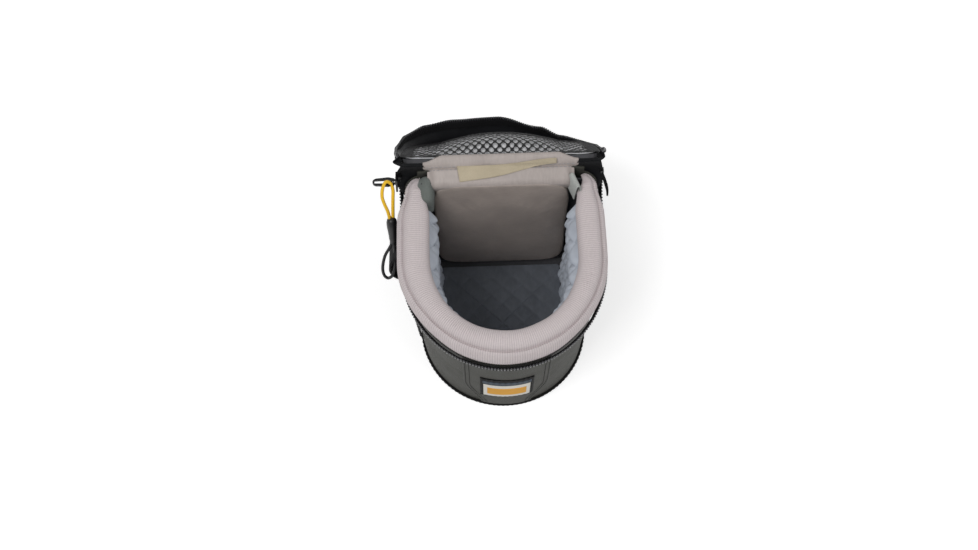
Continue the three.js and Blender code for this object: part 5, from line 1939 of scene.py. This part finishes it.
    def build_edges(self) -> None:
        """Builds the black tape round the net, wider as a hem on its hinge side."""
        rear = WALL.rear_run
        for name, first, last, width, replaced in (
                ("net_border_tape", -rear, rear, self.border_wide, []),
                ("net_hem_tape", rear - self.hem_lap, 2 * WALL.full_run - rear + self.hem_lap, self.hem_wide,
                 ["net_hem"])):
            def band(u: float, v: float) -> Vector:
                """Returns a point of the tape."""
                run = lerp(first, last, u)
                run = run if run <= WALL.full_run else run - 2 * WALL.full_run
                at = WALL.place(run, WALL.zip_height, self.tape_offset)
                at.y = min(at.y, WALL.back - self.hinge_margin)
                inner = WALL.place(run, WALL.zip_height, -width)
                at = at.lerp(inner, v)
                lift = 0.45 * MM * arch(v) + 0.25 * MM * wander(at, 9 * MM, 4)
                at.z = self.plane(at.y) - self.net_drop - 0.3 * MM - lift
                return self.turned(at)

            tape = Mesher.grid(round((last - first) / (1.5 * MM)), 8, band, (last - first, width))
            Mesher.piece(name, tape, WEB, "black_webbing", "lid", replaced, thickness=-0.6 * MM)

    def build_net(self) -> None:
        """Builds the diamond net."""
        back = WALL.back - self.net_inset
        bm = bmesh.new()
        uv = bm.loops.layers.uv.new("cloth")
        reach = self.net_reach
        cells = round(2 * reach * math.sqrt(2) / (self.net_pitch / math.sqrt(2)) / 2) * 2
        bmesh.ops.create_grid(bm, x_segments=cells, y_segments=cells, size=reach * math.sqrt(2))
        bmesh.ops.rotate(bm, matrix=Matrix.Rotation(RIGHT / 2, 3, "Z"), verts=bm.verts)
        bmesh.ops.scale(bm, vec=(1, self.net_stretch, 1), verts=bm.verts)
        for vert in bm.verts:
            vert.co += Vector((1, 1, 0)) * (self.net_sway * wander(vert.co, 11 * MM, 14))
        out = [v for v in bm.verts if not self.inside_net(v.co.x, v.co.y, back)]
        bmesh.ops.delete(bm, geom=out, context="VERTS")
        for face in bm.faces:
            for loop in face.loops:
                loop[uv].uv = (loop.vert.co.x, loop.vert.co.y)
        for vert in bm.verts:
            vert.co.z = self.net_height(vert.co.x, vert.co.y)
        bmesh.ops.wireframe(bm, faces=bm.faces[:], thickness=self.net_strand / 2, use_replace=True,
                            use_boundary=True, use_even_offset=True)
        bmesh.ops.transform(bm, matrix=self.opened, verts=bm.verts)
        Mesher.piece("lid_net", bm, NET, "net", "lid", ["net_pocket"], subdivide=1, sharp=180)


@dataclass
class Pull:
    """The yellow cord ring through the tab, the moulded grip that it ends in and the grip's finger loop.

    Its frame is its origin by the tab, the way out from the wall, the way across the ring and the way down.
    """

    origin: Tuple[float, float, float] = (-72.6, 51.834, 125.797)
    hang: Tuple[float, float, float] = (0.035, -0.57, -0.82)
    grip_start: float = 23.4
    grip_long: float = 20.5
    loop_long: float = 25.5
    loop_radius: float = 1.05 * MM
    cord_radius: float = 1.12 * MM

    def frame(self) -> Tuple[Vector, Vector, Vector]:
        """Returns the ways out, across and down."""
        down = Vector(self.hang).normalized()
        out = (Vector((1, 0, 0)) - down * down.x).normalized()
        return out, down.cross(out), down

    def spot(self, out: float, across: float, down: float) -> Vector:
        """Returns a point, in millimetres, of the pull's frame."""
        ways = self.frame()
        return Vector(self.origin) + ways[0] * out + ways[1] * across + ways[2] * down

    def route(self, *points: Tuple[float, float, float]) -> Route:
        """Returns the line through points of the pull's frame."""
        return Route.through(*(self.spot(*p) for p in points))

    def build(self) -> None:
        """Builds the cord, the grip and the loop."""
        across = self.frame()[1]
        ring = self.route((-1.0, 0.4, 24.5), (-1.7, 0.5, 19), (-3.4, 0.6, 13), (-4.3, 0.6, 8), (-3.6, 0.5, 2.6),
                          (-1.7, 0.2, -1.7), (0.2, -0.1, -2.4), (2.2, -0.3, -0.6), (3.0, -0.4, 4), (2.4, -0.5, 10),
                          (1.7, -0.5, 17), (1.1, -0.4, 24.5))
        cord = Mesher.tube(ring, lambda u: self.cord_radius, across, 110, 12)
        Mesher.piece("cord_ring", cord, CORD, "yellow_cord", "pull", ["pull_cord"])
        start, long = self.grip_start, self.grip_long
        spine = self.route(*((0.1 - 0.5 * t, 0, start + long * t) for t in (0, 0.25, 0.5, 0.75, 1)))
        shape = Route.through((0, 1.4, 0), (0, 3.1, 0), (0, 3.5, 0), (0, 3.45, 0), (0, 3.2, 0), (0, 2.95, 0),
                              (0, 2.75, 0), (0, 2.6, 0), (0, 2.2, 0), (0, 1.0, 0))

        def thick(u: float) -> float:
            """Returns the grip's radius: a rounded shoulder, a ring groove and a taper."""
            groove = 0.35 * MM * math.exp(-((u - 0.86) / 0.02) ** 2)
            return max(shape.at(u).y - groove, 0.3 * MM)

        grip = Mesher.tube(spine, thick, across, 90, 28)
        Mesher.piece("moulded_grip", grip, RUBBER, "black_rubber", "pull", ["pull_grip"])
        foot, far = start + long - 1.5, start + long + self.loop_long
        loop = self.route((-0.9, 0, foot), (-3.4, 0.1, foot + 4), (-7.0, 0.2, foot + 10), (-9.2, 0.2, far - 9),
                          (-9.0, 0.2, far - 3), (-6.6, 0.1, far), (-3.4, 0, far - 1.8), (-1.4, -0.1, far - 7.5),
                          (-0.4, -0.1, foot + 9), (-0.1, 0, foot + 3), (0.0, 0, foot))
        finger = Mesher.tube(loop, lambda u: self.loop_radius, across, 90, 12)
        Mesher.piece("finger_loop", finger, RUBBER, "black_rubber", "pull")


@dataclass
class Webbing:
    """The webbing: the patch and standing loop on the left side, the belt loop, and the zip's loose end."""

    patch_offset: float = 1.5 * MM
    web_thick: float = 1.6 * MM
    strap_front: float = 21 * MM
    strap_back: float = 45 * MM
    strap_lean: float = 3 * MM
    strap_twist: float = 0.8 * MM
    strap_section: Tuple[Tuple[float, float], ...] = (
        (2.0, 101), (2.6, 97), (6.5, 91), (12.0, 83), (15.0, 74), (15.4, 65), (13.2, 56), (8.6, 49.5), (3.4, 46),
        (2.0, 42))
    tail_wide: float = 8 * MM
    tail_curl: float = 0.7 * MM
    belt_half: float = 25 * MM
    belt_gap: float = 7 * MM
    belt_crown: float = 0.5 * MM
    belt_rise: Tuple[Tuple[float, float], ...] = (
        (0, 0), (0.1, 0), (0.2, 0.62), (0.34, 1), (0.66, 1), (0.8, 0.62), (0.9, 0), (1, 0))

    def build(self) -> None:
        """Builds the webbing pieces."""
        self.build_side_patch()
        self.build_strap()
        self.build_belt_loop()
        self.build_tail()

    def build_side_patch(self) -> None:
        """Builds the webbing patch that lies on the left wall."""
        low, high = box_of("side_patch")
        stitches = bmesh.new()

        def face(u: float, v: float) -> Vector:
            """Returns a point of the patch."""
            depth, height = lerp(high.y, low.y, u), lerp(low.z, high.z, v)
            edge = smooth(min(u, 1 - u, v, 1 - v), 0, 0.05)
            return self.left_point(depth, height, self.patch_offset - 0.5 * MM * (1 - edge))

        bm = Mesher.grid(60, 60, face, (high.y - low.y, high.z - low.z))
        Mesher.piece("side_patch_web", bm, WEB, "black_webbing", replaces=["side_patch"], thickness=1.0 * MM)
        ring = [(0.04, 0.04), (0.96, 0.04), (0.96, 0.96), (0.04, 0.96), (0.04, 0.04)]
        for (u0, v0), (u1, v1) in zip(ring, ring[1:]):
            line = [face(lerp(u0, u1, i / 30), lerp(v0, v1, i / 30)) for i in range(31)]
            Stitching().row(stitches, line, lambda p: Vector((-1, 0, 0)))
        Mesher.piece("side_patch_stitches", stitches, THREAD, "black_webbing")

    @staticmethod
    def left_point(depth: float, height: float, offset: float) -> Vector:
        """Returns a point by the left wall at a depth."""
        if depth >= 0:
            return WALL.place(-(WALL.front_run + depth), height, offset)
        angle = math.acos(clamp(-depth / WALL.spread(height)[1]))
        return WALL.place(-WALL.run_at(angle), height, offset)

    def build_strap(self) -> None:
        """Builds the webbing loop that stands out from the left side."""
        section = Route.through(*((out, height, 0) for out, height in self.strap_section))

        def face(u: float, v: float) -> Vector:
            """Returns a point of the loop."""
            at = section.at(u)
            depth = lerp(self.strap_back, self.strap_front, v) - self.strap_lean * arch(u) * (0.4 + v)
            twist = self.strap_twist * arch(u) * (v - 0.5)
            wall = WALL.place(-(WALL.front_run + 20 * MM), at.y)
            return Vector((wall.x - at.x - twist, depth, at.y))

        bm = Mesher.grid(80, 20, face, (section.length, self.strap_back - self.strap_front))
        Mesher.piece("side_loop_web", bm, WEB, "black_webbing", replaces=["side_strap"], thickness=self.web_thick)

    def build_belt_loop(self) -> None:
        """Builds the belt loop on the back, with its bar tacks."""
        low, high = box_of("belt_loop")
        line = Route(tuple(Vector((0, WALL.back + 1.0 * MM + self.belt_gap * rise, lerp(low.z, high.z, share)))
                           for share, rise in self.belt_rise))
        tacks = bmesh.new()

        def face(u: float, v: float) -> Vector:
            """Returns a point of the loop."""
            at = line.at(u)
            crown = self.belt_crown * arch(v)
            return Vector((lerp(-self.belt_half, self.belt_half, v), at.y + self.web_thick + crown, at.z))

        bm = Mesher.grid(90, 30, face, (line.length, 2 * self.belt_half), flip=True)
        Mesher.piece("belt_loop_web", bm, WEB, "black_webbing", replaces=["belt_loop"], thickness=self.web_thick)
        for share in (0.035, 0.075, 0.925, 0.965):
            row = [face(share, lerp(0.04, 0.96, i / 40)) + Vector((0, 0.1 * MM, 0)) for i in range(41)]
            Stitching(1.8 * MM, 0.5 * MM, 0.36 * MM).row(tacks, row, lambda p: Vector((0, 1, 0)))
        Mesher.piece("belt_loop_stitches", tacks, THREAD, "black_webbing")

    def build_tail(self) -> None:
        """Builds the zip tape's loose end at the right rear corner, folded and cut aslant."""
        line = Route.through((64.6, 56.5, 125), (66.0, 54, 122.6), (67.4, 50, 120.4), (68.2, 46.5, 118.8),
                             (68.3, 43.5, 117.6))
        across = Vector((0.1, -0.5, 0.86)).normalized()

        def face(u: float, v: float) -> Vector:
            """Returns a point of the loose end."""
            width = self.tail_wide * (1 - 0.8 * smooth(u, 0.4, 1.0))
            curl = self.tail_curl * arch(v)
            return line.at(u) + across * ((v - 0.5) * width) + Vector((-curl, 0, 0))

        bm = Mesher.grid(40, 12, face, (line.length, 9 * MM))
        Mesher.piece("zip_loose_end", bm, TAPE, "zip_tape", replaces=["zip_tail_right"], thickness=0.7 * MM)


@dataclass
class Studio:
    """The pale floor, the soft lamps and the camera at the photograph's angle."""

    camera_place: Tuple[float, float, float] = (-17.1 * MM, -332.7 * MM, 858.2 * MM)
    elevation: float = math.radians(66.414)
    azimuth: float = math.radians(1.303)
    roll: float = math.radians(-0.617)
    focal_pixels: float = 1288.8
    picture_width: float = 978.0
    sensor: float = 36.0
    floor_glow: float = 0.47
    room_light: float = 0.44

    def build(self) -> None:
        """Builds the floor, world, lamps and camera."""
        scene = bpy.context.scene
        scene.view_settings.view_transform = "Standard"
        self.build_camera(scene)
        self.build_floor()
        self.build_light(scene)

    def build_camera(self, scene: bpy.types.Scene) -> None:
        """Places the camera."""
        view = bpy.data.cameras.new("view")
        view.sensor_width = self.sensor
        view.lens = self.focal_pixels * self.sensor / self.picture_width
        view.clip_start = 10 * MM
        view.clip_end = 20.0
        camera = bpy.data.objects.new("view", view)
        forward = Vector((math.sin(self.azimuth) * math.cos(self.elevation),
                          math.cos(self.azimuth) * math.cos(self.elevation), -math.sin(self.elevation)))
        side = forward.cross(Vector((0, 0, 1))).normalized()
        up = side.cross(forward)
        turned = side * math.cos(self.roll) + up * math.sin(self.roll)
        up = up * math.cos(self.roll) - side * math.sin(self.roll)
        camera.matrix_world = Matrix((turned, up, -forward)).transposed().to_4x4()
        camera.location = self.camera_place
        scene.collection.objects.link(camera)
        scene.camera = camera

    def build_floor(self) -> None:
        """Lays the floor, which the camera sees as white but for the shadow."""
        bm = bmesh.new()
        bmesh.ops.create_grid(bm, x_segments=1, y_segments=1, size=3.0)
        mesh = bpy.data.meshes.new("floor")
        bm.to_mesh(mesh)
        bm.free()
        floor = bpy.data.objects.new("floor", mesh)
        bpy.context.scene.collection.objects.link(floor)
        graph = Graph("pale_floor")
        grain = graph.mottle(40 * MM)
        colour = graph.mix(grain, (0.86, 0.86, 0.86), (0.9, 0.9, 0.9))
        seen = graph.node("ShaderNodeLightPath", output="Is Camera Ray")
        for ray in ("Is Glossy Ray", "Is Transmission Ray"):
            seen = seen.larger(graph.node("ShaderNodeLightPath", output=ray))
        glow = graph.mix(seen, (0.0, 0.0, 0.0), (self.floor_glow,) * 3)
        mesh.materials.append(graph.surface({"Emission Strength": 1.0, "Emission Color": glow}, colour, 0.9))

    def build_light(self, scene: bpy.types.Scene) -> None:
        """Hangs the soft lamps and sets the world."""
        world = bpy.data.worlds.new("soft_room")
        scene.world = world
        world.use_nodes = True
        tree = world.node_tree
        background = tree.nodes["Background"]
        background.inputs["Color"].default_value = (1, 1, 1, 1)
        background.inputs["Strength"].default_value = self.room_light
        for name, place, size, power in (("key_lamp", (-0.6, -0.5, 1.4), 0.7, 9.0),
                                         ("fill_lamp", (0.9, -0.4, 1.1), 1.0, 4.0)):
            data = bpy.data.lights.new(name, "AREA")
            data.size = size
            data.energy = power
            lamp = bpy.data.objects.new(name, data)
            lamp.location = place
            lamp.rotation_mode = "QUATERNION"
            lamp.rotation_quaternion = (-Vector(place)).to_track_quat("-Z", "Y")
            scene.collection.objects.link(lamp)


def build_hinge_cloth() -> None:
    """Builds the dark cloth behind the hinge, drawn in the open pose and left on no body."""
    section = Route.through((0, 60.3, 127), (0, 60.35, 131.5), (0, 60.2, 134.4), (0, 59.9, 136.0), (0, 59.6, 136.8))
    half = 50.5 * MM

    def face(u: float, v: float) -> Vector:
        """Returns a point of the hinge cloth."""
        at = section.at(v)
        return Vector((lerp(half, -half, u), at.y, at.z))

    bm = Mesher.grid(70, 16, face, (2 * half, section.length))
    cloth = Mesher.piece("hinge_cloth", bm, BLACK, "black_nylon", None, ["hinge_fabric"], thickness=0.6 * MM)
    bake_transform(cloth)


def dress_nodes() -> None:
    """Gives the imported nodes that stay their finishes."""
    finishes = {
        "wall_foam": FOAM, "back_foam": FOAM, "base_foam": FOAM, "lid_foam": FOAM, "base_board": BOARD,
        "zip_stop_left": ENAMEL, "zip_stop_right": ENAMEL, "zip_slider": ENAMEL, "pull_tab": ENAMEL,
    }
    for name, finish in finishes.items():
        node = frame["nodes"][name]
        if not node.hide_render:
            node.data.materials.clear()
            node.data.materials.append(Wardrobe.get(finish))


def main() -> None:
    """Builds the pouch and its studio."""
    logging.basicConfig(level=logging.INFO, format="%(name)s %(message)s")
    Studio().build()
    lid = Lid()
    shell = OuterShell()
    for part in (shell, Patch(shell), Collar(), Lining(), BackRest(),
                 ZipHalf("lower", "root", -1, "zip_tape_body", "zip_chain_body", 9 * MM, lambda run, point: point),
                 ZipHalf("upper", "lid", 1, "zip_tape_lid", "zip_chain_lid", 10 * MM, lid.open_relaxed),
                 lid, Corners(lid), Pull(), Webbing()):
        part.build()
    build_hinge_cloth()
    dress_nodes()


if __name__ == "__main__":
    main()
